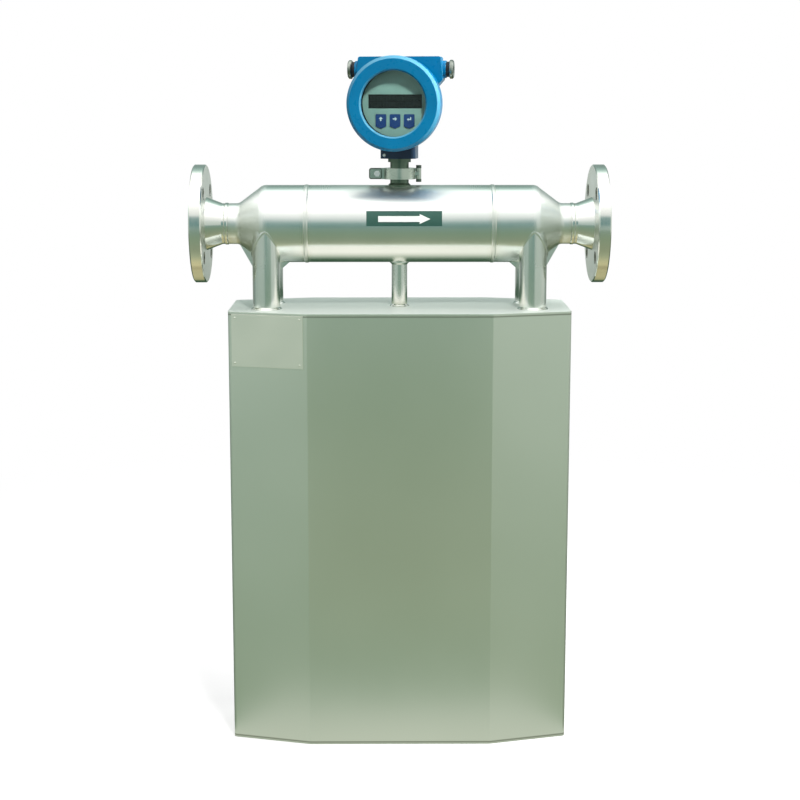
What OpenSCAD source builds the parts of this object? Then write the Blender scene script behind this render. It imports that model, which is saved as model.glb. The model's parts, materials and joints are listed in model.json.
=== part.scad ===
// Coriolis mass flow meter: two parallel U-tubes in a folded sheet case, hung from a round manifold
// with a flange at each end, and a transmitter head that turns on a clamped neck.
// Origin at the bottom centre of the case, +X with the flow, -Y towards the display, +Z up.

/* [Process connection] */
// Distance between the two sealing faces
face_to_face = 580; // [560:1:640]
// Outer diameter of a flange
flange_od = 165; // [150:1:185]
// Thickness of a flange, raised face included
flange_t = 20; // [14:1:26]
// Length from the sealing face to the end of the weld neck
flange_len = 48; // [40:1:52]
// Diameter of the bolt circle
bolt_circle_d = 125; // [122:1:130]
// Diameter of a bolt hole
bolt_hole_d = 18; // [14:1:19]
// Number of bolt holes
bolt_count = 4; // [4:4:8]
// Diameter of the raised face
raised_face_d = 102; // [90:1:104]
// Height of the raised face
raised_face_h = 3; // [1:0.5:4]
// Diameter of the hub where it meets the flange
hub_d = 74; // [66:1:90]
// Edge chamfer of a flange
flange_chamfer = 1.5; // [0.5:0.5:3]
// Inner diameter of the process pipe
bore_d = 50; // [40:1:52]
// Wall of the process pipe
pipe_wall = 3.5; // [2.5:0.5:5]

/* [Manifold] */
// Outer diameter of the manifold
manifold_od = 108; // [100:1:120]
// Wall of the manifold around its dry chamber
manifold_wall = 4; // [3:0.5:6]
// Length of the round part between the two reducers
manifold_len = 382; // [376:1:390]
// Length of one reducer cone
reducer_len = 34; // [24:1:38]
// Length of the spacer tube between the two splitters
spacer_len = 260; // [200:1:300]
// Casting wall around the wet chamber of a splitter
casting_wall = 10; // [8:0.5:12]
// Thickness of the bulkhead that closes the wet chamber
bulkhead_t = 6; // [4:0.5:10]
// Blend radius at both ends of a reducer
reducer_blend = 12; // [6:1:16]
// Thickness of the web that ties the two nozzles of a splitter
web_t = 8; // [5:0.5:12]
// Run of the web along the underside of the manifold
web_run = 14; // [8:1:20]
// Width of a weld bead
bead_w = 6; // [4:0.5:8]
// Height of a weld bead
bead_h = 0.8; // [0.4:0.1:1.5]

/* [Legs] */
// Height of the pipe axis over the top of the case
leg_rise = 116; // [106:1:150]
// Distance between the inlet legs and the outlet legs
leg_pitch_x = 371; // [350:1:376]
// Distance between the front legs and the rear legs
leg_pitch_y = 68; // [60:1:70]
// Outer diameter of a sleeve
sleeve_od = 38; // [36:1:40]
// Wall of a sleeve
sleeve_wall = 3; // [2:0.5:3]
// Outer diameter of the wiring post
post_od = 22; // [18:1:26]
// Wall of the wiring post
post_wall = 2; // [1.5:0.5:3]
// Height and width of a fillet weld at a foot
fillet_w = 3; // [2:0.5:5]

/* [Measuring tubes] */
// Outer diameter of a measuring tube
tube_od = 28; // [24:1:29]
// Wall of a measuring tube
tube_wall = 1.5; // [1:0.25:2]
// Bend radius of a measuring tube at its axis
tube_bend_r = 100; // [60:1:130]
// Clear height between a measuring tube and the floor plate
tube_floor_gap = 60; // [30:1:100]
// Depth that a tube goes into its nozzle
tube_socket = 10; // [6:1:14]
// Reach of a nozzle below the underside of the manifold
nozzle_reach = 8; // [4:1:20]
// Thickness of a brace bar
brace_t = 3; // [2:0.5:5]
// Rim of a brace bar around a tube
brace_rim = 7; // [4:0.5:9]
// Depth of the upper brace bar under the top plate
brace_drop = 40; // [20:1:80]
// Distance between the two brace bars of a leg
brace_pitch = 45; // [20:1:80]
// Height of the pickoffs over the base
pickoff_z = 280; // [240:1:360]
// Outer diameter of a coil
coil_od = 26; // [22:1:30]
// Inner diameter of a coil
coil_id = 17; // [16:0.5:19]
// Length of a coil
coil_len = 16; // [12:1:20]
// Diameter of a magnet
magnet_d = 14; // [10:0.5:14]
// Width of a coil or magnet bracket
bracket_w = 28; // [24:1:34]

/* [Case] */
// Width of the case along the flow
case_w = 474; // [460:1:500]
// Height of the case
case_h = 615; // [560:1:700]
// Depth of the flat sides
case_side_d = 130; // [120:1:150]
// Depth of the case between its folds
case_mid_d = 188; // [175:1:210]
// Distance between the two folds of one shell
fold_pitch = 254; // [220:1:280]
// Outer radius of a fold
fold_r = 6; // [4:0.5:10]
// Thickness of the shell sheet
sheet_t = 2; // [1.5:0.5:3]
// Thickness of the top plate
top_plate_t = 3; // [2:0.5:6]
// Thickness of the floor plate
floor_plate_t = 3; // [2:0.5:6]

/* [Plates] */
// Width of the name plate
name_plate_w = 103; // [80:1:104]
// Height of the name plate
name_plate_h = 72.5; // [50:0.5:90]
// Thickness of the name plate
name_plate_t = 1; // [0.6:0.1:2]
// Distance from the top of the case to the name plate
name_plate_drop = 3.5; // [3:0.5:20]
// Width of the flow label
label_w = 104; // [80:1:120]
// Height of the flow label
label_h = 20.5; // [16:0.5:26]
// Thickness of the flow label
label_t = 0.8; // [0.4:0.1:1.5]
// Shift of the flow label from the middle of the manifold
label_shift = 6; // [-20:1:20]
// Length of the flow arrow
arrow_len = 71.5; // [50:0.5:75]
// Width of the head of the flow arrow
arrow_head_w = 13.4; // [8:0.1:14]
// Length of the head of the flow arrow
arrow_head_len = 14.5; // [8:0.5:20]
// Width of the shaft of the flow arrow
arrow_shaft_w = 7.9; // [4:0.1:8]
// Thickness of the flow arrow
arrow_t = 0.3; // [0.2:0.1:0.6]

/* [Neck and clamp] */
// Height of the neck joint over the pipe axis
joint_rise = 70; // [68:0.5:72]
// Outer diameter of the neck
neck_od = 26; // [24:0.5:28]
// Inner diameter of the neck
neck_id = 18; // [14:0.5:20]
// Outer diameter of the neck flanges
ferrule_od = 35; // [33:0.5:36]
// Thickness of a neck flange at its rim
ferrule_rim_t = 2.4; // [1.5:0.1:3]
// Thickness of a neck flange at the neck
ferrule_root_t = 4.4; // [3.5:0.1:5]
// Thickness of the gasket between the neck flanges
gasket_t = 1; // [0.5:0.1:1.5]
// Outer diameter of the clamp
clamp_od = 44; // [42:0.5:46]
// Height of the clamp
clamp_h = 15.3; // [14:0.1:16]
// Reach of a clamp ear beyond the clamp ring
ear_reach = 20.6; // [18:0.1:24]
// Thickness of a clamp ear
ear_t = 3; // [2:0.5:4]
// Gap between the two halves of the clamp
clamp_gap = 2; // [1:0.5:3]
// Distance of the clamp hinge from the neck axis
hinge_offset = 26.9; // [26.5:0.1:28]
// Diameter of a hinge knuckle
knuckle_d = 7; // [6:0.1:7]
// Diameter of the hinge pin
hinge_pin_d = 3.2; // [2.5:0.1:4]
// Diameter of the clamp bolt
clamp_bolt_d = 5; // [4:0.5:6]

/* [Transmitter head] */
// Height of the display axis over the pipe axis
head_rise = 166.5; // [164:0.5:180]
// Turn of the head on its neck at rest
head_turn = -9; // [-30:1:30]
// Outer diameter of the front cover
cover_od = 129; // [127:0.5:135]
// Depth of the front cover
cover_depth = 28; // [26:0.5:34]
// Diameter of the window in the front cover
window_d = 89; // [86:0.5:92]
// Thickness of the front wall of the front cover
cover_wall = 7; // [5:0.5:8]
// Edge chamfer of the front cover
cover_chamfer = 4; // [2:0.5:5]
// Thickness of the glass
glass_t = 8; // [6:0.5:9]
// Width of the seat that holds the glass
glass_seat = 4.5; // [3:0.5:5]
// Thickness of the glass ring
glass_ring_t = 3; // [2:0.5:3]
// Outer diameter of the rear cover
rear_cover_od = 100; // [98:0.5:104]
// Depth of the rear cover
rear_cover_depth = 18; // [16:0.5:24]
// Thickness of the end wall of the rear cover
rear_cover_wall = 5; // [4:0.5:7]
// Reach of the housing in front of the neck axis
housing_front = 34; // [32:0.5:38]
// Reach of the housing behind the neck axis
housing_rear = 26; // [25:0.5:32]
// Diameter of the housing behind its front rim
housing_od = 104; // [102:0.5:108]
// Diameter of the rim that the front cover closes against
rim_od = 122; // [119:0.5:126]
// Width of the rim
rim_w = 6; // [4:0.5:8]
// Diameter of the front thread
thread_d = 112; // [110:0.5:113]
// Diameter of the rear thread
rear_thread_d = 90; // [86:0.5:91]
// Length of both threads
thread_len = 9; // [7:0.5:10]
// Diameter of the bore that holds the face plate
face_bore_d = 100; // [98:0.5:104]
// Diameter of the front compartment
compartment_d = 92; // [88:0.5:94]
// Diameter of the rear compartment
rear_compartment_d = 76; // [74:0.5:77]
// Place of the partition behind the neck axis
partition_y = 3; // [2:0.5:3]
// Thickness of the partition
partition_t = 3; // [2:0.5:3]
// Width of the conduit block at its top
block_top_w = 115; // [108:1:120]
// Width of the conduit block at its lower corners
block_w = 122; // [116:1:126]
// Height of the lower corners of the conduit block over the display axis
block_corner_z = 33; // [30:0.5:36]
// Depth of the conduit block from front to back
block_depth = 28; // [26:1:30]
// Place of the cable entries behind the neck axis
entry_y = 13; // [12.5:0.5:14]
// Height of the cable entries over the display axis
entry_z = 47; // [46:0.5:50]
// Diameter of a cable entry
entry_d = 16; // [14:0.5:17]
// Width of the foot under the housing
foot_w = 49; // [44:1:54]
// Depth of the foot from front to back
foot_depth = 40; // [36:1:44]
// Drop of the foot below the display axis
foot_drop = 75.5; // [72:0.5:76]
// Outer diameter of the collar under the foot
collar_d = 32; // [30:0.5:36]
// Height of the collar under the foot
collar_h = 5; // [4:0.5:7]

/* [Cable glands] */
// Reach of a gland beyond the conduit block
gland_reach = 10; // [9.5:0.5:12]
// Outer diameter of a gland nut
gland_nut_d = 26; // [24:0.5:28]
// Length of a gland nut
gland_nut_len = 5.5; // [5:0.5:6]
// Outer diameter of the seal behind a gland nut
gland_seal_d = 21; // [19:0.5:23]
// Diameter of the cable passage
cable_passage_d = 10; // [8:0.5:11]

/* [Display] */
// Depth of the face plate behind the housing threads
face_plate_inset = 1; // [0.5:0.5:2]
// Thickness of the face plate
face_plate_t = 1.5; // [1:0.5:2]
// Width of the display window
display_w = 74; // [60:1:76]
// Height of the display window
display_h = 19; // [14:0.5:22]
// Height of the display centre over the display axis
display_z = 3; // [2:0.5:6]
// Width of a key
key_w = 14.3; // [10:0.1:15]
// Height of a key
key_h = 19; // [14:0.5:20]
// Distance between two keys
key_pitch = 19.5; // [18.5:0.1:21]
// Drop of the keys below the display axis
key_drop = 24; // [23:0.5:25]
// Height of a key over the face plate
key_stand = 1.2; // [0.9:0.1:1.5]
// Travel of a key
key_travel = 0.8; // [0.5:0.1:0.8]
// Thickness of a circuit board
board_t = 1.6; // [1:0.1:2]
// Distance from the face plate to the display board
board_gap = 4; // [3.5:0.5:6]
// Distance between the two boards
board_pitch = 20; // [16:1:22]

/* [Fits] */
// Radial clearance of a sliding or turning fit
run_gap = 0.1; // [0.05:0.01:0.2]
// Clearance between parts that pass each other
free_gap = 0.3; // [0.2:0.05:0.4]

/* [Hidden] */
$fn = 64;

steel = [0.72, 0.74, 0.71];
bright_steel = [0.86, 0.87, 0.86];
paint_blue = [0.09, 0.48, 0.70];
dark_navy = [0.09, 0.11, 0.18];
rubber_black = [0.08, 0.08, 0.08];
board_green = [0.10, 0.35, 0.22];
copper = [0.72, 0.42, 0.25];
face_grey = [0.66, 0.74, 0.68];
key_blue = [0.12, 0.18, 0.50];
label_teal = [0.20, 0.38, 0.34];

// process connection and manifold, as radii and places along X
pipe_z = case_h + leg_rise;
face_x = face_to_face / 2;
neck_x = face_x - flange_len;
bore_r = bore_d / 2;
pipe_r = bore_r + pipe_wall;
manifold_r = manifold_od / 2;
manifold_end = manifold_len / 2;
reducer_end = manifold_end + reducer_len;
seam_x = spacer_len / 2;
leg_x = leg_pitch_x / 2;
leg_y = leg_pitch_y / 2;
sleeve_r = sleeve_od / 2;
sleeve_id = sleeve_od - 2 * sleeve_wall;
tube_r = tube_od / 2;
tube_id = tube_od - 2 * tube_wall;
nozzle_d = sleeve_id - 2 * run_gap;
nozzle_drop = manifold_r + nozzle_reach;
plenum_r = manifold_r - casting_wall;
plenum_end = leg_x - sleeve_r;

// measuring tubes
tube_top_z = pipe_z - nozzle_drop + tube_socket;
tube_low_z = floor_plate_t + tube_floor_gap + tube_r;
brace_top_z = case_h - top_plate_t - brace_drop;
bracket_y = tube_r;
coil_start = bracket_y - coil_len;

// case outline, corner by corner
case_outline = [
    [case_w / 2, -case_side_d / 2], [case_w / 2, case_side_d / 2],
    [fold_pitch / 2, case_mid_d / 2], [-fold_pitch / 2, case_mid_d / 2],
    [-case_w / 2, case_side_d / 2], [-case_w / 2, -case_side_d / 2],
    [-fold_pitch / 2, -case_mid_d / 2], [fold_pitch / 2, -case_mid_d / 2]
];
shell_top_z = case_h - top_plate_t;
facet_run = (case_w - fold_pitch) / 2;
facet_rise = (case_mid_d - case_side_d) / 2;
facet_turn = atan2(facet_rise, facet_run);

// neck and clamp, with heights over the joint plane
joint_z = pipe_z + joint_rise;
neck_r = neck_od / 2;
ferrule_r = ferrule_od / 2;
seat_z = gasket_t / 2;
clamp_r = clamp_od / 2;
clamp_bore_r = neck_r + free_gap;
ear_hole_x = clamp_r + ear_reach / 2 - 1;
ear_end = clamp_r + ear_reach;
ear_corner_r = 3;
knuckle_h = clamp_h / 3;
bolt_head_h = 3.5;
bolt_head_d = clamp_bolt_d * 1.8;
pin_head_h = 4;

// transmitter head, with places measured along its display axis, front positive
cover_r = cover_od / 2;
cover_front = housing_front + cover_depth;
rear_end = housing_rear + rear_cover_depth;
window_r = window_d / 2;
glass_r = window_r + glass_seat;
glass_back = cover_front - cover_wall - glass_t;
compartment_r = compartment_d / 2;
seal_d = 2.5;
groove_w = seal_d + 2 * free_gap;
rim_r = rim_od / 2;
housing_r = housing_od / 2;
block_y = housing_rear - 3 - block_depth / 2;
foot_top = sqrt(pow(housing_r, 2) - pow(foot_w / 2, 2)) - 1;
collar_z = head_rise - foot_drop - joint_rise;
spigot_d = collar_d - 8;
spigot_h = 12;
cable_d = 5;
floor_hole_d = cable_d + 2;
connector_h = 12;
boss_d = gland_nut_d - 2;
boss_x = block_w / 2 + 3;
seal_len = gland_reach - gland_nut_len;
plate_front = housing_front + thread_len - face_plate_inset;
plate_back = plate_front - face_plate_t;
board_front = plate_back - board_gap;
plate_r = face_bore_d / 2 - free_gap;
board_r = compartment_r - 2;
key_flange = 1;
post_angles = [90, 210, 330];
post_circle_r = board_r - 6;

function unit(v) = v / norm(v);
// The point at distance d inside both sides of the corner a-b-c
function inside(a, b, c, d) =
    let (u = unit(a - b), v = unit(c - b), half = acos(u * v) / 2)
    b + unit(u + v) * d / sin(half);
// The arc of radius r that rounds the corner a-b-c
function corner(a, b, c, r, steps = 6) =
    let (u = unit(a - b), v = unit(c - b), half = acos(u * v) / 2,
         o = inside(a, b, c, r), p = b + u * r / tan(half), q = b + v * r / tan(half),
         from = atan2(p.y - o.y, p.x - o.x), turn = atan2(q.y - o.y, q.x - o.x) - from,
         sweep = turn > 180 ? turn - 360 : turn < -180 ? turn + 360 : turn)
    [for (i = [0:steps]) o + r * [cos(from + sweep * i / steps), sin(from + sweep * i / steps)]];
function before(points, i) = points[(i + len(points) - 1) % len(points)];
function after(points, i) = points[(i + 1) % len(points)];
function inset(points, d) =
    [for (i = [0:len(points) - 1]) inside(before(points, i), points[i], after(points, i), d)];
function rounded(points, r) =
    [for (i = [0:len(points) - 1]) each corner(before(points, i), points[i], after(points, i), r)];
function groove_d(d) = d + 2 * seal_d + 6 * run_gap;
function box_points(w, h) = [[-w / 2, -h / 2], [w / 2, -h / 2], [w / 2, h / 2], [-w / 2, h / 2]];

// Frames and revolved forms; the points are [radius, place along the axis]
module at_pipe() translate([0, 0, pipe_z]) children();
module at_joint() translate([0, 0, joint_z]) children();
module at_head() translate([0, 0, pipe_z + head_rise]) rotate([0, 0, head_turn]) children();
module outlet_or_inlet(side) mirror([side < 0 ? 1 : 0, 0, 0]) children();
module revolve_x(points) rotate([0, 90, 0]) rotate_extrude() polygon(points);
module revolve_y(points) rotate([90, 0, 0]) rotate_extrude() polygon(points);
module rod_x(d, from, to) translate([from, 0, 0]) rotate([0, 90, 0]) cylinder(d = d, h = to - from);
module rod_y(d, from, to) translate([0, from, 0]) rotate([-90, 0, 0]) cylinder(d = d, h = to - from);
// A plate in the XZ plane whose front face is at y = -front
module plate_y(points, front, t) translate([0, -front + t, 0]) rotate([90, 0, 0])
    linear_extrude(t) polygon(points);

// ---- Process connection ----

module bead_x(r, x) revolve_x([
    [r, x - bead_w / 2], [r + bead_h, x - bead_w / 4], [r + bead_h, x + bead_w / 4], [r, x + bead_w / 2]]);

module flange(side) color(bright_steel) at_pipe() outlet_or_inlet(side) {
    back_x = face_x - flange_t;
    rim_x = face_x - raised_face_h;
    flange_r = flange_od / 2;
    difference() {
        union() {
            revolve_x([
                [bore_r, face_x], [raised_face_d / 2, face_x], [raised_face_d / 2, rim_x],
                [flange_r - flange_chamfer, rim_x], [flange_r, rim_x - flange_chamfer],
                [flange_r, back_x + flange_chamfer], [flange_r - flange_chamfer, back_x],
                [hub_d / 2, back_x], [pipe_r, neck_x + bead_w], [pipe_r, neck_x], [bore_r, neck_x]]);
            bead_x(pipe_r, neck_x);
        }
        for (i = [0:bolt_count - 1])
            rotate([(i + 0.5) * 360 / bolt_count, 0, 0])
                translate([0, 0, bolt_circle_d / 2]) rod_x(bolt_hole_d, back_x - 1, face_x + 1);
    }
}

// ---- Manifold ----

splitter_outline = concat(
    [[0, neck_x], [pipe_r, neck_x]],
    corner([pipe_r, neck_x], [pipe_r, reducer_end], [manifold_r, manifold_end], reducer_blend),
    corner([pipe_r, reducer_end], [manifold_r, manifold_end], [manifold_r, seam_x], reducer_blend),
    [[manifold_r, seam_x], [0, seam_x]]);

module at_leg(row) translate([leg_x, row * leg_y, 0]) children();

module splitter(side) color(steel) at_pipe() outlet_or_inlet(side) difference() {
    union() {
        revolve_x(splitter_outline);
        bead_x(manifold_r, seam_x);
        for (row = [-1, 1]) at_leg(row) translate([0, 0, -nozzle_drop]) cylinder(d = nozzle_d, h = nozzle_drop);
        plate_y([
            [reducer_end, 1 - pipe_r], [leg_x + sleeve_r, -nozzle_drop - 2], [leg_x - sleeve_r, -nozzle_drop - 2],
            [leg_x - sleeve_r - web_run, 2 - manifold_r], [manifold_end, 4 - manifold_r]], web_t / 2, web_t);
    }
    revolve_x([
        [0, neck_x + 1], [bore_r, neck_x + 1], [bore_r, reducer_end],
        [plenum_r, manifold_end], [plenum_r, plenum_end], [0, plenum_end]]);
    rod_x(manifold_od - 2 * manifold_wall, seam_x - 1, plenum_end - bulkhead_t);
    for (row = [-1, 1]) at_leg(row) {
        translate([0, 0, -nozzle_drop - 1]) cylinder(d = tube_id, h = nozzle_drop + 1);
        translate([0, 0, -nozzle_drop - 1]) cylinder(d = tube_od, h = tube_socket + 1);
    }
}

module manifold_form() at_pipe() rod_x(manifold_od, -seam_x, seam_x);

module spacer_tube() color(steel) difference() {
    manifold_form();
    at_pipe() rod_x(manifold_od - 2 * manifold_wall, -seam_x - 1, seam_x + 1);
    translate([0, 0, case_h]) cylinder(d = post_od - 2 * post_wall, h = leg_rise);
    at_pipe() cylinder(d = neck_id, h = manifold_od);
}

// ---- Legs ----

module fillet_weld(r) cylinder(r1 = r + fillet_w, r2 = r, h = fillet_w);

module sleeve(side, row) color(steel) outlet_or_inlet(side) difference() {
    at_leg(row) translate([0, 0, case_h]) {
        cylinder(d = sleeve_od, h = leg_rise);
        fillet_weld(sleeve_r);
    }
    at_leg(row) translate([0, 0, case_h - 1]) cylinder(d = sleeve_id, h = leg_rise + 2);
    at_pipe() revolve_x(splitter_outline);
}

module wiring_post() color(steel) difference() {
    translate([0, 0, case_h]) {
        cylinder(d = post_od, h = leg_rise);
        fillet_weld(post_od / 2);
        translate([0, 0, leg_rise - manifold_r]) mirror([0, 0, 1]) fillet_weld(post_od / 2);
        translate([0, 0, leg_rise - manifold_r]) cylinder(r = post_od / 2 + fillet_w, h = fillet_w);
    }
    translate([0, 0, case_h - 1]) cylinder(d = post_od - 2 * post_wall, h = leg_rise + 2);
    manifold_form();
}

// ---- Measuring tubes and what they carry ----

module tube_form(d) {
    leg_h = tube_top_z - tube_low_z - tube_bend_r;
    run = leg_pitch_x - 2 * tube_bend_r;
    translate([0, 0, tube_low_z]) {
        rod_x(d, -run / 2, run / 2);
        for (side = [-1, 1]) outlet_or_inlet(side) {
            translate([run / 2, 0, tube_bend_r]) rotate([90, 0, 0]) rotate([0, 0, -90])
                rotate_extrude(angle = 90) translate([tube_bend_r, 0]) circle(d = d);
            translate([leg_x, 0, tube_bend_r]) cylinder(d = d, h = leg_h);
        }
    }
}

module measuring_tube(row) color(bright_steel) translate([0, row * leg_y, 0]) difference() {
    tube_form(tube_od);
    tube_form(tube_id);
}

module brace_bars(side) color(steel) outlet_or_inlet(side)
    for (z = [brace_top_z, brace_top_z - brace_pitch]) difference() {
        union() {
            for (row = [-1, 1]) at_leg(row) translate([0, 0, z]) cylinder(r = tube_r + brace_rim, h = brace_t);
            translate([leg_x - tube_r, -leg_y, z]) cube([tube_od, leg_pitch_y, brace_t]);
        }
        for (row = [-1, 1]) at_leg(row) translate([0, 0, z - 1]) cylinder(d = tube_od, h = brace_t + 2);
    }

// A coil or a magnet is built for a pair of tubes along X and then set on the run or on a leg
module on_run() translate([0, 0, tube_low_z]) children();
module on_leg(side) translate([side * leg_x, 0, pickoff_z]) rotate([0, 90, 0]) children();

module bracket(row) difference() {
    translate([-bracket_w / 2, row > 0 ? bracket_y : -leg_y, -tube_r - 2])
        cube([bracket_w, leg_y - bracket_y, tube_od + 4]);
    translate([0, row * leg_y, 0]) rod_x(tube_od, -bracket_w, bracket_w);
}

module coil_part() {
    color(steel) bracket(1);
    color(copper) difference() {
        rod_y(coil_od, coil_start, bracket_y);
        rod_y(coil_id, coil_start - 1, bracket_y - 1);
    }
}

module magnet_part() {
    color(steel) bracket(-1);
    color(bright_steel) rod_y(magnet_d, -bracket_y, bracket_y - coil_len / 2);
}

module temperature_sensor() color(bright_steel)
    translate([-leg_x, -leg_y, brace_top_z - 2 * brace_pitch]) difference() {
        union() {
            cylinder(r = tube_r + 1, h = 8);
            translate([0, -tube_r - 2, -8]) cylinder(d = 6, h = 24);
        }
        translate([0, 0, -10]) cylinder(d = tube_od, h = 30);
    }

// Junction strip under the top plate, with one wire to each pickoff and to the drive coil
wire_d = 2.4;
strip_w = 44;
strip_h = 18;

module wire(points) for (i = [0:len(points) - 2]) {
    a = points[i];
    b = points[i + 1];
    d = b - a;
    translate(a) rotate([0, acos(d.z / norm(d)), atan2(d.y, d.x)]) cylinder(d = wire_d, h = norm(d), $fn = 8);
    translate(b) sphere(d = wire_d, $fn = 8);
}

module coil_wiring() {
    strip_z = shell_top_z - strip_h;
    wire_z = strip_z + strip_h / 2;
    side_x = leg_x + tube_r + wire_d / 2;
    color(dark_navy) difference() {
        translate([-strip_w / 2, -9, strip_z]) cube([strip_w, 18, strip_h]);
        translate([0, 0, strip_z - 1]) cylinder(d = cable_d, h = strip_h + 2);
    }
    color(rubber_black) {
        for (side = [-1, 1]) wire([
            [side * (strip_w / 2 - 2), 0, wire_z], [side * (leg_x - 40), 0, wire_z],
            [side * (leg_x - 40), leg_y, pickoff_z + 60], [side * (leg_x - tube_r - 1), leg_y, pickoff_z + 24]]);
        wire([[0, 8, strip_z + 2], [0, 26, strip_z - 60], [0, 26, tube_low_z + 60],
            [0, bracket_y + 4, tube_low_z + tube_r + 3]]);
    }
}

module sensor_cable() color(rubber_black)
    translate([0, 0, shell_top_z - strip_h]) cylinder(d = cable_d - 2 * run_gap, h = cable_top_z - shell_top_z + strip_h);

// ---- Case ----

module shell(row) color(steel) intersection() {
    linear_extrude(shell_top_z) difference() {
        polygon(rounded(case_outline, fold_r));
        polygon(rounded(inset(case_outline, sheet_t), fold_r - sheet_t));
    }
    translate([-case_w, row > 0 ? 0 : -case_mid_d, 0]) cube([2 * case_w, case_mid_d, shell_top_z]);
}

module case_top_plate() color(bright_steel) difference() {
    translate([0, 0, shell_top_z]) linear_extrude(top_plate_t) polygon(rounded(case_outline, fold_r));
    for (side = [-1, 1], row = [-1, 1]) outlet_or_inlet(side) at_leg(row)
        translate([0, 0, shell_top_z - 1]) cylinder(d = sleeve_id, h = top_plate_t + 2);
    translate([0, 0, shell_top_z - 1]) cylinder(d = post_od - 2 * post_wall, h = top_plate_t + 2);
}

module case_floor_plate() color(steel) linear_extrude(floor_plate_t)
    polygon(rounded(inset(case_outline, sheet_t), fold_r - sheet_t));

// ---- Plates ----

module name_plate() color(bright_steel)
    translate([-case_w / 2 + facet_run / 2, -case_side_d / 2 - facet_rise / 2, case_h - name_plate_drop])
        rotate([0, 0, -facet_turn])
            translate([-name_plate_w / 2, -name_plate_t, -name_plate_h]) cube([name_plate_w, name_plate_t, name_plate_h]);

// A thin layer of thickness t that lies on the front of the manifold at radius r
module front_layer(r, t) intersection() {
    difference() {
        rod_x(2 * (r + t), -seam_x, seam_x);
        rod_x(2 * r, -seam_x - 1, seam_x + 1);
    }
    rotate([90, 0, 0]) linear_extrude(manifold_od) children();
}

module flow_label() color(label_teal) at_pipe() front_layer(manifold_r, label_t)
    translate([label_shift - label_w / 2, 0.5]) square([label_w, label_h]);

module flow_arrow() color("white") at_pipe() front_layer(manifold_r + label_t, arrow_t)
    translate([label_shift - arrow_len / 2, label_h / 2]) polygon([
        [0, -arrow_shaft_w / 2], [arrow_len - arrow_head_len, -arrow_shaft_w / 2],
        [arrow_len - arrow_head_len, -arrow_head_w / 2], [arrow_len, 0],
        [arrow_len - arrow_head_len, arrow_head_w / 2], [arrow_len - arrow_head_len, arrow_shaft_w / 2],
        [0, arrow_shaft_w / 2]]);

// ---- Neck and clamp ----

module sensor_neck() color(bright_steel) difference() {
    at_joint() rotate_extrude() polygon([
        [neck_id / 2, -seat_z], [ferrule_r, -seat_z], [ferrule_r, -seat_z - ferrule_rim_t],
        [neck_r, -seat_z - ferrule_root_t], [neck_r, manifold_r + fillet_w - joint_rise],
        [neck_r + fillet_w, manifold_r - joint_rise], [neck_r + fillet_w, -joint_rise], [neck_id / 2, -joint_rise]]);
    manifold_form();
}

module neck_gasket() color(rubber_black) at_joint() translate([0, 0, -seat_z]) difference() {
    cylinder(r = ferrule_r - free_gap, h = gasket_t);
    translate([0, 0, -1]) cylinder(d = neck_id, h = gasket_t + 2);
}

module clamp_ring() rotate_extrude() polygon([
    [clamp_bore_r, -clamp_h / 2], [clamp_r, -clamp_h / 2], [clamp_r, clamp_h / 2], [clamp_bore_r, clamp_h / 2],
    [clamp_bore_r, seat_z + ferrule_root_t + free_gap], [ferrule_r + free_gap, seat_z + ferrule_rim_t + free_gap],
    [ferrule_r + free_gap, -seat_z - ferrule_rim_t - free_gap], [clamp_bore_r, -seat_z - ferrule_root_t - free_gap]]);

// row -1 is the front half with the middle knuckle, row 1 the rear half with the outer knuckles
module clamp_half(row) color(steel) at_joint() {
    knuckles = row < 0 ? [0] : [-1, 1];
    inner = clamp_gap / 2;
    difference() {
        union() {
            intersection() {
                clamp_ring();
                translate([-clamp_od, row > 0 ? inner : -clamp_od, -clamp_h])
                    cube([2 * clamp_od, clamp_od - inner, 2 * clamp_h]);
            }
            plate_y([for (p = rounded(box_points(ear_reach + 4, clamp_h), ear_corner_r))
                p + [-clamp_r - ear_reach / 2 + 2, 0]], row > 0 ? -inner : inner + ear_t, ear_t);
            for (k = knuckles) translate([0, 0, (k - 0.5) * knuckle_h + run_gap]) {
                translate([hinge_offset, 0, 0]) cylinder(d = knuckle_d, h = knuckle_h - 2 * run_gap);
                translate([clamp_r - 1.5, row > 0 ? inner : -knuckle_d / 2, 0])
                    cube([hinge_offset - clamp_r + 1.5, knuckle_d / 2 - inner, knuckle_h - 2 * run_gap]);
            }
        }
        translate([hinge_offset, 0, -clamp_h]) cylinder(d = hinge_pin_d + 2 * run_gap, h = 2 * clamp_h);
        translate([-ear_hole_x, 0, 0]) rod_y(clamp_bolt_d + 2 * free_gap, -clamp_r, clamp_r);
    }
}

module clamp_hinge_pin() color(bright_steel) at_joint() translate([hinge_offset, 0, 0]) {
    cylinder(d = hinge_pin_d, h = clamp_h, center = true);
    for (end = [0, 1]) mirror([0, 0, end]) translate([0, 0, clamp_h / 2])
        cylinder(d = knuckle_d + 0.5, h = pin_head_h);
}

module clamp_bolt() color(bright_steel) at_joint() translate([-ear_hole_x, 0, 0]) {
    outer = clamp_gap / 2 + ear_t;
    rod_y(clamp_bolt_d, -outer, outer + bolt_head_h + 2);
    translate([0, -outer, 0]) rotate([90, 0, 0]) cylinder(d = bolt_head_d, h = bolt_head_h, $fn = 6);
    difference() {
        translate([0, outer, 0]) rotate([-90, 0, 0]) cylinder(d = bolt_head_d, h = bolt_head_h, $fn = 6);
        rod_y(clamp_bolt_d, 0, 2 * outer + bolt_head_h);
    }
}

// ---- Head: stem, foot and housing ----

cable_top_z = pipe_z + head_rise - compartment_r + connector_h - 4;

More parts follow.
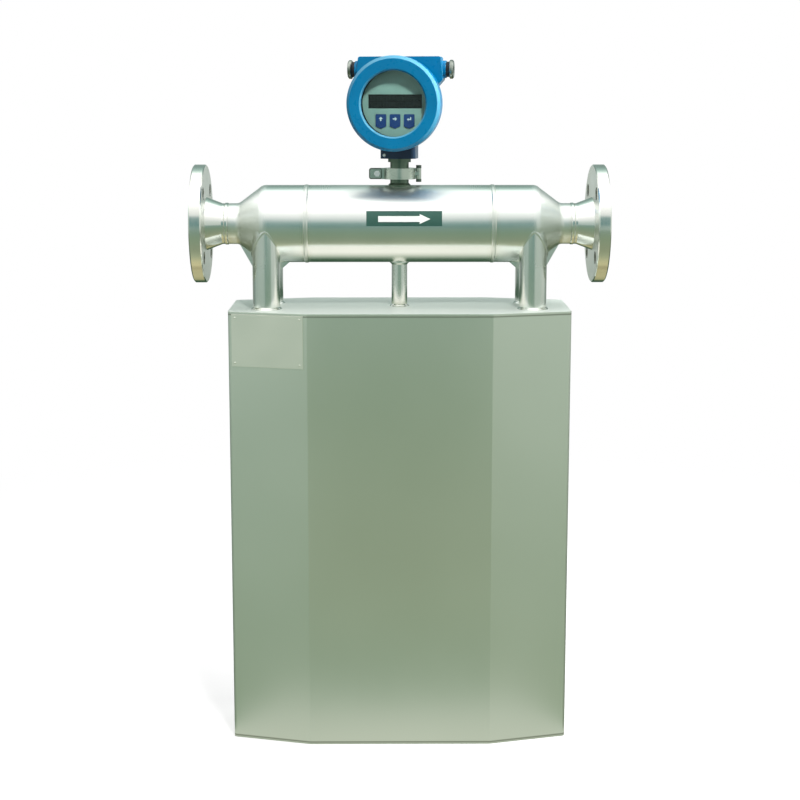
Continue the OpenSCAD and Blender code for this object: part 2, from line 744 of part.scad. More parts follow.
module neck_stem() color(bright_steel) at_joint() rotate_extrude() polygon([
    [neck_id / 2, seat_z + run_gap], [ferrule_r, seat_z + run_gap], [ferrule_r, seat_z + run_gap + ferrule_rim_t],
    [neck_r, seat_z + run_gap + ferrule_root_t], [neck_r, collar_z - collar_h],
    [collar_d / 2, collar_z - collar_h], [collar_d / 2, collar_z], [spigot_d / 2, collar_z],
    [spigot_d / 2, collar_z + spigot_h], [neck_id / 2, collar_z + spigot_h]]);

module at_foot_screw() translate([-foot_w / 2 + 6, -foot_depth / 2, -foot_drop + 5]) children();

module housing_foot() color(dark_navy) at_head() difference() {
    translate([0, 0, -foot_drop]) linear_extrude(foot_drop - foot_top) polygon(rounded(box_points(foot_w, foot_depth), 6));
    rod_y(housing_od, -foot_depth, foot_depth);
    translate([0, 0, -foot_drop - 1]) cylinder(d = spigot_d + 2 * run_gap, h = foot_drop);
    at_foot_screw() rod_y(4, -1, 9);
}

module foot_screw() color(bright_steel) at_head() at_foot_screw() difference() {
    rod_y(4, -0.5, 8);
    rotate([-90, 0, 0]) translate([0, 0, -1]) cylinder(d = 2.3, h = 3, $fn = 6);
}

module housing_form() {
    revolve_y([
        [0, -housing_rear], [housing_r - 2, -housing_rear], [housing_r, -housing_rear + 2],
        [housing_r, housing_front - 2 * rim_w],
        [rim_r, housing_front - rim_w], [rim_r, housing_front], [0, housing_front]]);
    rod_y(thread_d, -housing_front - thread_len, -housing_front + 1);
    rod_y(rear_thread_d, 0, housing_rear + thread_len);
    translate([0, block_y + block_depth / 2, 0]) rotate([90, 0, 0]) linear_extrude(block_depth)
        polygon(rounded([
            [block_top_w / 2, cover_r], [-block_top_w / 2, cover_r], [-block_w / 2, block_corner_z],
            [-housing_r * 0.6, 0], [housing_r * 0.6, 0], [block_w / 2, block_corner_z]], 3));
    for (side = [-1, 1]) outlet_or_inlet(side) translate([0, entry_y, entry_z])
        rod_x(boss_d, block_top_w / 2 - 5, boss_x);
}

module transmitter_housing() color(paint_blue) at_head() difference() {
    housing_form();
    rod_y(face_bore_d, -housing_front - thread_len - 1, -housing_front + rim_w);
    rod_y(compartment_d, -housing_front, partition_y);
    rod_y(rear_compartment_d, partition_y + partition_t, housing_rear + thread_len + 1);
    translate([0, entry_y, entry_z]) rod_x(entry_d, -boss_x - 1, boss_x + 1);
    translate([0, entry_y, 0]) cylinder(d = entry_d - 3, h = entry_z);
    translate([0, 0, -housing_od]) cylinder(d = floor_hole_d, h = housing_od - compartment_r + 2);
}

module signal_connector() color(rubber_black) at_head() difference() {
    intersection() {
        translate([0, 0, -compartment_r - 1]) cylinder(d = floor_hole_d + 6, h = connector_h);
        rod_y(compartment_d, -housing_front, partition_y);
    }
    translate([0, 0, -compartment_r - 2]) cylinder(d = cable_d + 2 * free_gap, h = connector_h - 1);
}

// ---- Cable glands ----

module at_entry(side) at_head() outlet_or_inlet(side) translate([0, entry_y, entry_z]) children();

module gland_body(side) color(bright_steel) at_entry(side) difference() {
    rod_x(entry_d - 2 * run_gap, boss_x - 16, boss_x + gland_reach - 3);
    rod_x(cable_passage_d, boss_x - 17, boss_x + gland_reach);
}

module gland_nut(side) color(bright_steel) at_entry(side) {
    end = boss_x + gland_reach;
    difference() {
        revolve_x([
            [cable_passage_d / 2, end - gland_nut_len], [gland_nut_d / 2 - 1, end - gland_nut_len],
            [gland_nut_d / 2, end - gland_nut_len + 1], [gland_nut_d / 2, end - 1.5],
            [gland_nut_d / 2 - 1.5, end], [cable_passage_d / 2, end]]);
        rod_x(entry_d, end - gland_nut_len - 1, end - 3);
    }
}

module gland_seals() color(rubber_black) for (side = [-1, 1]) at_entry(side) difference() {
    rod_x(gland_seal_d, boss_x, boss_x + seal_len);
    rod_x(entry_d, boss_x - 1, boss_x + seal_len + 1);
}

// ---- Face, keys and boards ----

module key_outline(grow) polygon(rounded([
    [-key_w / 2 - grow, key_h / 2 + grow], [-key_w / 2 - grow, -key_h / 2 + 3 - grow], [0, -key_h / 2 - grow],
    [key_w / 2 + grow, -key_h / 2 + 3 - grow], [key_w / 2 + grow, key_h / 2 + grow]], 1.2));

module at_key(place, depth) translate([place * key_pitch, -depth, -key_drop]) rotate([90, 0, 0]) children();

module face_plate() color(face_grey) at_head() difference() {
    rod_y(2 * plate_r, -plate_front, -plate_back);
    plate_y([for (p = box_points(display_w, display_h)) p + [0, display_z]], plate_front + 1, face_plate_t + 2);
    for (place = [-1:1]) at_key(place, plate_back - 1) linear_extrude(face_plate_t + 2) key_outline(free_gap);
}

// A key has a cap through the face plate, a rim behind it and a stem towards the display board
module key(place) color(key_blue) at_head() at_key(place, 0) {
    rim_front = plate_back - run_gap;
    translate([0, 0, rim_front - key_flange]) {
        linear_extrude(face_plate_t + key_flange + run_gap + key_stand) key_outline(0);
        linear_extrude(key_flange) key_outline(1);
    }
    stem_end = board_front + key_travel + run_gap;
    translate([0, 0, stem_end]) cylinder(d = 4, h = rim_front - stem_end);
}

module display_module() color("black") at_head() union() {
    plate_y([for (p = box_points(display_w - 2 * free_gap, display_h - 2 * free_gap)) p + [0, display_z]],
        plate_front - 0.5, face_plate_t);
    plate_y([for (p = box_points(display_w + 4, display_h + 4)) p + [0, display_z]], plate_back - run_gap,
        board_gap - run_gap);
}

module board_posts(from, to, d) for (angle = post_angles)
    translate([post_circle_r * cos(angle), 0, post_circle_r * sin(angle)]) rod_y(d, from, to);

module display_board() color(board_green) at_head() {
    rod_y(2 * board_r, -board_front, -board_front + board_t);
    board_posts(-board_front + board_t, -board_front + board_pitch, 6);
    board_posts(-plate_back, -board_front, 5);
}

module power_board() color(board_green) at_head() {
    front = board_front - board_pitch;
    rod_y(2 * board_r - 4, -front, -front + board_t);
    board_posts(-front + board_t, partition_y, 6);
    translate([-20, -front - 10, 4]) cube([22, 10, 18]);
    translate([6, -front - 8, 8]) cube([14, 8, 12]);
    translate([8, -front, -16]) rod_y(12, -12, 0);
    translate([-10, -front, -14]) rod_y(10, -12, 0);
}

terminal_places = [-24:8:24];

module terminal_block() color(board_green) at_head() translate([0, partition_y + partition_t, -8]) difference() {
    union() {
        translate([-31, 0, -12]) cube([62, 8, 24]);
        for (x = terminal_places) translate([x, 0, 0]) translate([-3.4, 0, -8]) cube([6.8, 14, 16]);
    }
    for (x = terminal_places, z = [-4.5, 4.5]) translate([x, 0, z]) rod_y(4.4, 11, 16);
}

// ---- Covers ----

module front_cover() color(paint_blue) at_head() difference() {
    revolve_y([
        [0, housing_front], [cover_r - 1, housing_front], [cover_r, housing_front + 1],
        [cover_r, cover_front - cover_chamfer], [cover_r - cover_chamfer, cover_front], [0, cover_front]]);
    revolve_y([[0, cover_front - 2], [window_r, cover_front - 2], [window_r + 2.5, cover_front + 0.5], [0, cover_front + 0.5]]);
    rod_y(window_d, -cover_front - 1, -housing_front + 1);
    rod_y(2 * glass_r, -cover_front + cover_wall, -housing_front + 1);
    rod_y(thread_d + 2 * run_gap, -housing_front - thread_len - free_gap, -housing_front + 1);
    rod_y(groove_d(thread_d), -housing_front - groove_w, -housing_front + 1);
}

module front_glass() color([0.8, 0.9, 0.9, 0.4]) at_head()
    rod_y(2 * (glass_r - run_gap), -cover_front + cover_wall, -glass_back);

module glass_ring() color(rubber_black) at_head() difference() {
    rod_y(2 * (glass_r - run_gap), -glass_back, -glass_back + glass_ring_t);
    rod_y(window_d, -glass_back - 1, -glass_back + glass_ring_t + 1);
}

// A round seal that lies around the thread of diameter d, in a groove of the cover
module cover_seal(d, place) color(rubber_black) at_head() rotate([90, 0, 0]) translate([0, 0, place])
    rotate_extrude() translate([(d + seal_d) / 2 + run_gap, 0]) circle(d = seal_d);

module rear_cover() color(paint_blue) at_head() difference() {
    rear_r = rear_cover_od / 2;
    revolve_y([
        [0, -rear_end], [rear_r - cover_chamfer, -rear_end], [rear_r, -rear_end + cover_chamfer],
        [rear_r, -housing_rear - 1], [rear_r - 1, -housing_rear], [0, -housing_rear]]);
    rod_y(rear_thread_d + 2 * run_gap, housing_rear - 1, housing_rear + thread_len + free_gap);
    rod_y(groove_d(rear_thread_d), housing_rear - 1, housing_rear + groove_w);
    rod_y(rear_compartment_d, housing_rear - 1, rear_end - rear_cover_wall);
}

flange(-1);  // inlet_flange
flange(1);  // outlet_flange
splitter(-1);  // inlet_splitter
splitter(1);  // outlet_splitter
spacer_tube();
sleeve(-1, -1);  // inlet_front_sleeve
sleeve(-1, 1);  // inlet_rear_sleeve
sleeve(1, -1);  // outlet_front_sleeve
sleeve(1, 1);  // outlet_rear_sleeve
wiring_post();
measuring_tube(-1);  // front_measuring_tube
measuring_tube(1);  // rear_measuring_tube
brace_bars(-1);  // inlet_brace_bars
brace_bars(1);  // outlet_brace_bars
on_run() coil_part();  // drive_coil
on_run() magnet_part();  // drive_magnet
on_leg(-1) coil_part();  // inlet_pickoff_coil
on_leg(-1) magnet_part();  // inlet_pickoff_magnet
on_leg(1) coil_part();  // outlet_pickoff_coil
on_leg(1) magnet_part();  // outlet_pickoff_magnet
temperature_sensor();
coil_wiring();
sensor_cable();
shell(-1);  // case_front_shell
shell(1);  // case_rear_shell
case_top_plate();
case_floor_plate();
name_plate();
flow_label();
flow_arrow();
sensor_neck();
neck_gasket();
clamp_half(-1);  // clamp_front_half
clamp_half(1);  // clamp_rear_half
clamp_hinge_pin();
clamp_bolt();
neck_stem();
housing_foot();
foot_screw();
transmitter_housing();
gland_body(-1);  // left_gland_body
gland_body(1);  // right_gland_body
gland_nut(-1);  // left_gland_nut
gland_nut(1);  // right_gland_nut
gland_seals();
face_plate();
display_module();
display_board();
power_board();
terminal_block();
signal_connector();
key(-1);  // left_key
key(0);  // middle_key
key(1);  // right_key
front_cover();
front_glass();
glass_ring();
cover_seal(thread_d, housing_front + groove_w / 2);  // front_cover_seal
rear_cover();
cover_seal(rear_thread_d, -housing_rear - groove_w / 2);  // rear_cover_seal
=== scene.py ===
"""Looks of a coriolis flow meter: finishes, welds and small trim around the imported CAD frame, with a plain studio."""

import json
import math

import bmesh
import bpy
from mathutils import Matrix, Vector


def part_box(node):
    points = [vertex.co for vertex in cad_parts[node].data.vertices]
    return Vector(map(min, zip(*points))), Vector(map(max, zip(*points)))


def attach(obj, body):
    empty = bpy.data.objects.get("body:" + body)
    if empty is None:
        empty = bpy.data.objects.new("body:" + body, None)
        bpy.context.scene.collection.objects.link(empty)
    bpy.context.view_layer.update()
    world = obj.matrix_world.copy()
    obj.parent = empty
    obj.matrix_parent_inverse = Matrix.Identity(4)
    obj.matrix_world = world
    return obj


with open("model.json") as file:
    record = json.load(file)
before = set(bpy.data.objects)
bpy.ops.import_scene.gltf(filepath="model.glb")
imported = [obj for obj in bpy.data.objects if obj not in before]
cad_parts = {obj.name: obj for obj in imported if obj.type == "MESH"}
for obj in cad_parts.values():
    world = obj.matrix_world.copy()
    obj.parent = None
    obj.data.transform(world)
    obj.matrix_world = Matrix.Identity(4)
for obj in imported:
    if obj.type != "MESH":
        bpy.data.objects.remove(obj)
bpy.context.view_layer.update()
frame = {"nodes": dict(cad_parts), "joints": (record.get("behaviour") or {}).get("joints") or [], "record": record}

MM = 0.001
NODES = frame["nodes"]
SLOT_OF = {part["node"]: part["material_slot"] for part in frame["record"]["subparts"]}
MOUNTS = {mount["name"]: mount for mount in frame["record"]["mounts"]}
JOINTS = {joint["name"]: joint for joint in frame["joints"]}


# ---- Places worked out from the frame ----


def middle(node):
    low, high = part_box(node)
    return (low + high) / 2


def extent(node):
    low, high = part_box(node)
    return high - low


PIPE_Z = MOUNTS["inlet_bore"]["pos_m"][2]
MANIFOLD_R = extent("spacer_tube").z / 2
CASE_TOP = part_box("case_top_plate")[1].z
CASE_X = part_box("case_front_shell")[1].x
SEAM_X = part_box("spacer_tube")[1].x  # where the middle tube meets each cone
NECK_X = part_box("outlet_splitter")[1].x  # where each cone's neck meets its flange
HEAD_AT = Vector(JOINTS["front_cover_turn"]["pos_m"])
HEAD_FRONT = Vector(JOINTS["front_cover_turn"]["axis"]).normalized()
HEAD_TURN = math.atan2(HEAD_FRONT.x, -HEAD_FRONT.y)
HEAD_MATRIX = Matrix.Translation(HEAD_AT) @ Matrix.Rotation(HEAD_TURN, 4, "Z")


def head_box(node):
    """Lowest and highest corners of a node along the head's own axes, whose front is -Y."""
    back = HEAD_MATRIX.inverted()
    points = [back @ vertex.co for vertex in NODES[node].data.vertices]
    return (Vector(min(point[i] for point in points) for i in range(3)),
            Vector(max(point[i] for point in points) for i in range(3)))


# ---- Small helpers for node trees ----


def linear(red, green, blue):
    """A display colour from 0 to 255, as the linear colour that a shader takes."""
    def one(value):
        value /= 255
        return value / 12.92 if value <= 0.04045 else ((value + 0.055) / 1.055) ** 2.4
    return (one(red), one(green), one(blue), 1.0)


class Graph:
    """A node tree, and the few kinds of nodes that the finishes, the stage and the world are built from."""

    def __init__(self, tree, output_kind):
        self.tree = tree
        self.tree.nodes.clear()
        self.output = self.new(output_kind)

    def new(self, kind):
        return self.tree.nodes.new("ShaderNode" + kind)

    def link(self, source, target):
        self.tree.links.new(source, target)

    def put(self, socket, value):
        if isinstance(value, bpy.types.NodeSocket):
            self.link(value, socket)
        else:
            socket.default_value = value

    def show(self, surface):
        self.link(surface, self.output.inputs["Surface"])

    def math(self, kind, a, b=0.0):
        node = self.new("Math")
        node.operation = kind
        self.put(node.inputs[0], a)
        self.put(node.inputs[1], b)
        return node.outputs[0]

    def plus(self, a, b):
        return self.math("ADD", a, b)

    def minus(self, a, b):
        return self.math("SUBTRACT", a, b)

    def times(self, a, b):
        return self.math("MULTIPLY", a, b)

    def most(self, a, b):
        return self.math("MAXIMUM", a, b)

    def absolute(self, a):
        return self.math("ABSOLUTE", a)

    def magnitude(self, a, b):
        return self.math("SQRT", self.plus(self.times(a, a), self.times(b, b)))

    def between(self, value, low, high, out_low=0.0, out_high=1.0, kind="LINEAR"):
        """Runs from out_low to out_high as the value runs from low to high, and stays there beyond them."""
        node = self.new("MapRange")
        node.interpolation_type = kind
        for socket, number in zip(node.inputs[1:5], (low, high, out_low, out_high)):
            socket.default_value = number
        self.put(node.inputs[0], value)
        return node.outputs[0]

    def band(self, value, centre, half, soft):
        """1 where the value is within half of the centre, and 0 from soft beyond that."""
        return self.between(self.absolute(self.minus(value, centre)), half, half + soft, 1.0, 0.0)

    def axis(self, where, name):
        node = self.new("SeparateXYZ")
        self.link(where, node.inputs[0])
        return node.outputs["XYZ".index(name)]

    def vector_math(self, kind, a, b=(0, 0, 0)):
        """A kind of vector sum whose result is a number."""
        node = self.new("VectorMath")
        node.operation = kind
        self.put(node.inputs[0], a)
        self.put(node.inputs[1], b)
        return node.outputs["Value"]

    def mix(self, share, a, b):
        """Goes from colour a to colour b."""
        node = self.new("Mix")
        node.data_type = "RGBA"
        self.put(node.inputs[0], share)
        self.put(node.inputs[6], a)
        self.put(node.inputs[7], b)
        return node.outputs[2]

    def mix_surfaces(self, share, a, b):
        """Goes from shader a to shader b."""
        node = self.new("MixShader")
        for socket, source in zip(node.inputs, (share, a, b)):
            self.link(source, socket)
        return node.outputs[0]

    def plain(self, kind, colour=(1, 1, 1, 1), **values):
        """A shader of a simple kind, in one colour."""
        node = self.new(kind)
        self.put(node.inputs["Color"], colour)
        for name, value in values.items():
            self.put(node.inputs[name], value)
        return node.outputs[0]

    def for_view(self, shown, other):
        """Mixes two shaders: shown for rays that see the background, other for rays that carry light."""
        path = self.new("LightPath")
        direct = self.most(path.outputs["Is Camera Ray"], path.outputs["Is Glossy Ray"])
        return self.mix_surfaces(self.most(direct, path.outputs["Is Transmission Ray"]), other, shown)


class Finish(Graph):
    """A material, which has a Principled shader unless it is told to do without."""

    def __init__(self, name, principled=True):
        self.material = bpy.data.materials.new(name)
        self.material.use_nodes = True
        super().__init__(self.material.node_tree, "OutputMaterial")
        self.place = self.new("TexCoord").outputs["Object"]
        if principled:
            self.shader = self.new("BsdfPrincipled")
            self.show(self.shader.outputs[0])

    def set(self, **values):
        """Sets or links the shader's own inputs, named with _ for a space."""
        for name, value in values.items():
            self.put(self.shader.inputs[name.replace("_", " ")], value)

    def stretched(self, scale, turn=0.0):
        """Object coordinates, turned about Z and then scaled along each axis."""
        node = self.new("Mapping")
        node.vector_type = "POINT"
        node.inputs["Rotation"].default_value = (0, 0, turn)
        node.inputs["Scale"].default_value = scale
        self.link(self.place, node.inputs["Vector"])
        return node.outputs[0]

    def noise(self, scale, detail=2.0, rough=0.5, where=None):
        node = self.new("TexNoise")
        node.inputs["Scale"].default_value = scale
        node.inputs["Detail"].default_value = detail
        node.inputs["Roughness"].default_value = rough
        self.link(where or self.place, node.inputs["Vector"])
        return node.outputs[0]

    def face_normal(self):
        return self.new("NewGeometry").outputs["Normal"]

    def rounded(self, radius):
        """A normal that rounds the solid's edges."""
        node = self.new("Bevel")
        node.samples = 4
        node.inputs["Radius"].default_value = radius
        return node.outputs[0]

    def edges(self, rounded):
        """1 on the edges that a rounded normal bends, and 0 on open faces."""
        return self.between(self.vector_math("DOT_PRODUCT", self.face_normal(), rounded), 0.99, 0.86)

    def bump(self, height, depth, strength=1.0, below=None):
        """A normal with bumps as high as depth, laid over the normal below."""
        node = self.new("Bump")
        node.inputs["Strength"].default_value = strength
        node.inputs["Distance"].default_value = depth
        self.link(height, node.inputs["Height"])
        if below is not None:
            self.link(below, node.inputs["Normal"])
        return node.outputs[0]


# ---- Finishes ----


def steel(name, light, dark, rough, grain, grain_depth=0.00002, rough_spread=0.06, cloud=6.0, edge=0.0):
    """Stainless steel: a fine grain stretched by the three numbers in grain, over soft clouds of tint."""
    g = Finish(name)
    lines = g.noise(1.0, 3.0, 0.6, g.stretched(grain))
    clouds = g.noise(cloud, 2.0, 0.5)
    g.tint = g.mix(g.between(clouds, 0.35, 0.65), dark, light)
    g.rough = g.plus(g.between(lines, 0.3, 0.7, rough - rough_spread / 2, rough + rough_spread / 2),
                     g.between(g.noise(cloud * 4, 3.0), 0.3, 0.7, -rough_spread / 3, rough_spread / 3))
    normal = g.bump(lines, grain_depth, below=g.rounded(edge) if edge else None)
    g.set(Base_Color=g.tint, Metallic=1.0, Roughness=g.rough, Normal=normal)
    return g


def case_steel():
    """Sheet with a dull finish, a paler pickled plate on top, and a darker line along each welded joint."""
    g = steel("case_steel", linear(232, 238, 228), linear(224, 231, 220), rough=0.40, grain=(260, 260, 30),
              grain_depth=0.000008, rough_spread=0.03, cloud=2.5, edge=0.8 * MM)
    height, depth = g.axis(g.place, "Z"), g.axis(g.place, "Y")
    plate_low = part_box("case_top_plate")[0].z
    floor_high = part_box("case_floor_plate")[1].z
    joint = g.most(g.band(height, plate_low - 0.9 * MM, 0.3 * MM, 1.2 * MM),
                   g.band(height, floor_high, 0.3 * MM, 1.5 * MM))
    side = g.times(g.band(depth, 0.0, 3 * MM, 4 * MM), g.between(height, plate_low, plate_low + MM, 1, 0))
    seam = g.times(g.most(joint, g.times(side, 0.15)), 0.75)
    upward = g.between(g.axis(g.face_normal(), "Z"), 0.6, 0.9)
    sheet_tint = g.mix(upward, g.tint, linear(230, 236, 230))
    g.set(Base_Color=g.mix(seam, sheet_tint, linear(112, 118, 100)),
          Roughness=g.plus(g.rough, g.times(upward, 0.07)),
          Metallic=g.minus(1.0, g.times(upward, 0.4)))
    return g


def pipe_steel():
    """Bright pipe: straw tint beside each weld, and duller where it was ground, on the cones and under the head."""
    g = steel("pipe_steel", linear(232, 235, 230), linear(222, 228, 222), rough=0.22, grain=(900, 10, 10),
              grain_depth=0.000003, rough_spread=0.04)
    along, height = g.absolute(g.axis(g.place, "X")), g.axis(g.place, "Z")
    seams = g.most(g.band(along, SEAM_X, 3 * MM, 7 * MM), g.band(along, NECK_X, 3 * MM, 6 * MM))
    feet = g.band(height, CASE_TOP, 3 * MM, 6 * MM)
    heat = g.times(g.most(seams, feet), g.between(g.noise(40.0, 2.0), 0.3, 0.7, 0.05, 0.22))
    ground = g.band(along, SEAM_X, 1.6 * MM, 2.4 * MM)
    cone = g.times(g.band(along, NECK_X - 28 * MM, 26 * MM, 6 * MM),
                   g.between(height, PIPE_Z - 60 * MM, PIPE_Z - 50 * MM))
    under_head = g.times(g.between(along, 60 * MM, 130 * MM, 1.0, 0.0),
                         g.between(height, PIPE_Z + 15 * MM, PIPE_Z + 35 * MM))
    duller = g.plus(g.plus(g.times(ground, 0.14), g.times(cone, 0.11)), g.times(under_head, 0.13))
    g.set(Base_Color=g.mix(heat, g.tint, linear(190, 186, 160)), Roughness=g.plus(g.rough, duller))
    return g


def flange_steel():
    """Turned steel: fine rings round the pipe's axis on its flat faces."""
    g = Finish("flange_steel")
    height = g.minus(g.axis(g.place, "Z"), PIPE_Z)
    radius = g.magnitude(g.axis(g.place, "Y"), height)
    rings = g.math("SINE", g.times(radius, 2 * math.pi / (0.9 * MM)))
    turned = g.noise(1.0, 3.0, 0.6, g.stretched((900, 30, 30)))
    tint = g.mix(g.between(g.noise(9.0, 2.0), 0.35, 0.65), linear(222, 224, 214), linear(234, 236, 230))
    under = g.bump(turned, 0.000004, below=g.rounded(0.5 * MM))
    flat = g.between(g.absolute(g.axis(g.face_normal(), "X")), 0.9, 0.98)
    g.set(Base_Color=tint, Metallic=1.0,
          Roughness=g.plus(g.between(turned, 0.3, 0.7, 0.12, 0.17), g.times(flat, 0.17)),
          Normal=g.bump(g.times(rings, flat), 0.00006, 0.5, under))
    return g


def bright_steel():
    return steel("bright_steel", linear(206, 212, 202), linear(178, 190, 178), rough=0.28, grain=(1800, 1800, 1800),
                 grain_depth=0.000002, rough_spread=0.02, cloud=30.0, edge=0.4 * MM)


def stem_steel():
    """The neck's tube in a darker steel: painted shade for the shade under the head's foot and the dark things it
    mirrors there.
    """
    return steel("stem_steel", linear(104, 120, 106), linear(74, 90, 76), rough=0.30, grain=(1500, 1500, 100),
                 grain_depth=0.000002, rough_spread=0.03, cloud=24.0, edge=0.4 * MM)


def gland_steel():
    """Nickel-plated steel, in darker tones than the other bright steel."""
    return steel("gland_steel", linear(168, 174, 166), linear(96, 106, 98), rough=0.24, grain=(500, 500, 500),
                 grain_depth=0.000003, cloud=60.0, edge=0.5 * MM)


def plate_steel():
    return steel("plate_steel", linear(250, 250, 240), linear(242, 243, 232), rough=0.42, grain=(30, 30, 900),
                 grain_depth=0.000012, edge=0.3 * MM)


def copper():
    return steel("coil_copper", linear(200, 130, 90), linear(176, 108, 72), rough=0.3, grain=(60, 60, 1800),
                 grain_depth=0.00005)


def rough_metal(name, light, dark, cloud, metallic, rough, rough_scale, grain_scale, grain_depth, edge=0.0):
    """Metal without a grain: clouds of tint, a roughness between two numbers and small bumps."""
    g = Finish(name)
    clouds = g.noise(*cloud)
    g.set(Base_Color=g.mix(g.between(clouds, 0.35, 0.65), dark, light), Metallic=metallic,
          Roughness=g.between(g.noise(rough_scale, 2.0), 0.3, 0.7, *rough),
          Normal=g.bump(g.noise(*grain_scale), grain_depth, below=g.rounded(edge) if edge else None))
    return g


def bolt_steel():
    """Zinc-plated screws: paler and duller than the cast and turned pieces round them."""
    return rough_metal("bolt_steel", linear(250, 251, 250), linear(236, 240, 240), cloud=(200.0, 2.0), metallic=0.75,
                       rough=(0.42, 0.52), rough_scale=600.0, grain_scale=(1400.0, 2.0), grain_depth=0.00002,
                       edge=0.5 * MM)


def dark_cast():
    """The dull, darker cast skin on the raised rims of the clamp's ears and the heads of its hinge pin."""
    return rough_metal("dark_cast", linear(98, 110, 100), linear(74, 84, 76), cloud=(180.0, 3.0), metallic=0.9,
                       rough=(0.38, 0.52), rough_scale=900.0, grain_scale=(1600.0, 3.0), grain_depth=0.00005,
                       edge=0.4 * MM)


def weld_steel():
    """Weld metal: bright crowns with straw and grey clouds."""
    return rough_metal("weld_steel", linear(216, 219, 208), linear(198, 200, 186), cloud=(90.0, 3.0), metallic=1.0,
                       rough=(0.32, 0.40), rough_scale=300.0, grain_scale=(900.0, 2.0), grain_depth=0.00003)


def rubber():
    g = Finish("black_rubber")
    grain = g.noise(2500.0, 3.0)
    tint = g.mix(g.between(g.noise(60.0), 0.3, 0.7), linear(24, 25, 26), linear(38, 39, 40))
    g.set(Base_Color=tint, Roughness=g.between(grain, 0.3, 0.7, 0.6, 0.75), Normal=g.bump(grain, 0.00003))
    return g


UP_RIGHT = (0.5, 0.0, 0.86)  # the side towards which the painted highlight on the paint's edges faces: up and to the right, where the light comes from


def paint(name, light, dark, rough, coat, peel=0.00006, edge=0.0, worn=None):
    """Sprayed paint with a faint orange peel; given a highlight colour, its edges get a painted highlight in patches,
    strongest on the side facing up and to the right.
    """
    g = Finish(name)
    waves = g.noise(420.0, 2.0, 0.4)
    g.tint = g.mix(g.between(g.noise(22.0, 3.0), 0.3, 0.7), dark, light)
    g.rough = g.between(g.noise(160.0, 3.0), 0.3, 0.7, rough - 0.05, rough + 0.05)
    smooth = g.rounded(edge) if edge else None
    # painted highlight: lightens the edges in patches, most where they face up and to the right
    if worn:
        patches = g.between(g.noise(140.0, 3.0), 0.35, 0.7, 0.35, 0.8)
        upper = g.between(g.vector_math("DOT_PRODUCT", smooth, UP_RIGHT), -0.35, 0.45, 0.15, 1.0)
        g.tint = g.mix(g.times(g.times(g.edges(smooth), patches), upper), g.tint, worn)
    g.normal = g.bump(waves, peel, 0.6, smooth)
    g.set(Base_Color=g.tint, Roughness=g.rough, Normal=g.normal, Coat_Weight=coat, Coat_Roughness=0.16,
          Specular_IOR_Level=0.15)
    return g


# The front cover, by its distance from the head's own axis
THREAD_R = 55 * MM
THREAD_PITCH = 1.5 * MM
OUTER_CHAMFER_R = 62 * MM
INNER_CHAMFER_R = 47 * MM


def blue_paint():
    """Paint of the housing and its covers, with the thread of its collar bare; painted highlights lighten its edges and
    the front cover's chamfers.
    """
    g = paint("blue_paint", linear(0, 120, 168), linear(0, 112, 160), rough=0.30, coat=0.2, edge=1.2 * MM,
              worn=linear(104, 190, 222))
    local = g.stretched((1, 1, 1), -HEAD_TURN)
    depth = g.axis(local, "Y")
    rise = g.minus(g.axis(local, "Z"), HEAD_AT.z)
    radius = g.magnitude(g.axis(local, "X"), rise)
    thread_end = head_box("front_cover")[1].y
    on_thread = g.times(g.band(depth, thread_end - 4.5 * MM, 4.6 * MM, 0.1 * MM),
                        g.band(radius, THREAD_R, 1.6 * MM, 0.1 * MM))
    facing = g.vector_math("DOT_PRODUCT", g.new("TexCoord").outputs["Normal"], HEAD_FRONT)
    slanted = g.band(facing, 0.62, 0.28, 0.06)
    outer = g.times(slanted, g.band(radius, OUTER_CHAMFER_R, 5 * MM, MM))
    inner = g.times(slanted, g.band(radius, INNER_CHAMFER_R, 4 * MM, MM))
    # painted highlight on the front cover's chamfers: the outer one lighter towards the upper right, the inner one
    # towards the lower left, where the light falls on them
    lean = g.plus(g.times(g.axis(g.place, "X"), UP_RIGHT[0]), g.times(rise, UP_RIGHT[2]))
    lit = g.plus(g.times(outer, g.between(lean, -35 * MM, 30 * MM, 0.1, 0.52)),
                 g.times(inner, g.between(lean, -30 * MM, 30 * MM, 0.5, 0.0)))
    g.tint = g.mix(lit, g.tint, linear(128, 204, 230))
    turns = g.math("SINE", g.times(depth, 2 * math.pi / THREAD_PITCH))
    threads = g.times(turns, on_thread)
    g.set(Base_Color=g.mix(on_thread, g.tint, linear(196, 200, 202)), Metallic=on_thread,
          Normal=g.bump(threads, 0.0004, 1.0, g.normal))
    return g


def plastic(name, light, dark, rough, coat=0.0, grain_scale=1800.0, grain_depth=0.00002, edge=0.0):
    g = Finish(name)
    grain = g.noise(grain_scale, 2.0)
    g.tint = g.mix(g.between(g.noise(70.0, 3.0), 0.3, 0.7), dark, light)
    g.set(Base_Color=g.tint, Roughness=g.between(grain, 0.3, 0.7, rough - 0.04, rough + 0.04),
          Normal=g.bump(grain, grain_depth, below=g.rounded(edge) if edge else None),
          Coat_Weight=coat, Coat_Roughness=0.08)
    return g


def display_black():
    """A switched-off display, whose two rows of character cells show faintly."""
    g = plastic("display_black", linear(16, 18, 20), linear(10, 12, 14), rough=0.12, coat=0.4, grain_scale=300.0,
                grain_depth=0.000002)
    cells_in_row = 18
    local = g.stretched((1, 1, 1), -HEAD_TURN)
    low, high = head_box("display_module")
    across = g.math("FRACT", g.math("DIVIDE", g.axis(local, "X"), (high.x - low.x) / cells_in_row))
    height = g.minus(g.axis(local, "Z"), HEAD_AT.z + (low.z + high.z) / 2)
    row = g.band(g.absolute(height), 3.9 * MM, 2.9 * MM, 0.2 * MM)
    cells = g.times(g.band(across, 0.5, 0.36, 0.04), row)
    g.set(Base_Color=g.mix(g.times(cells, 0.8), g.tint, linear(30, 34, 33)), Coat_Weight=0.1,
          Specular_IOR_Level=0.2)
    return g


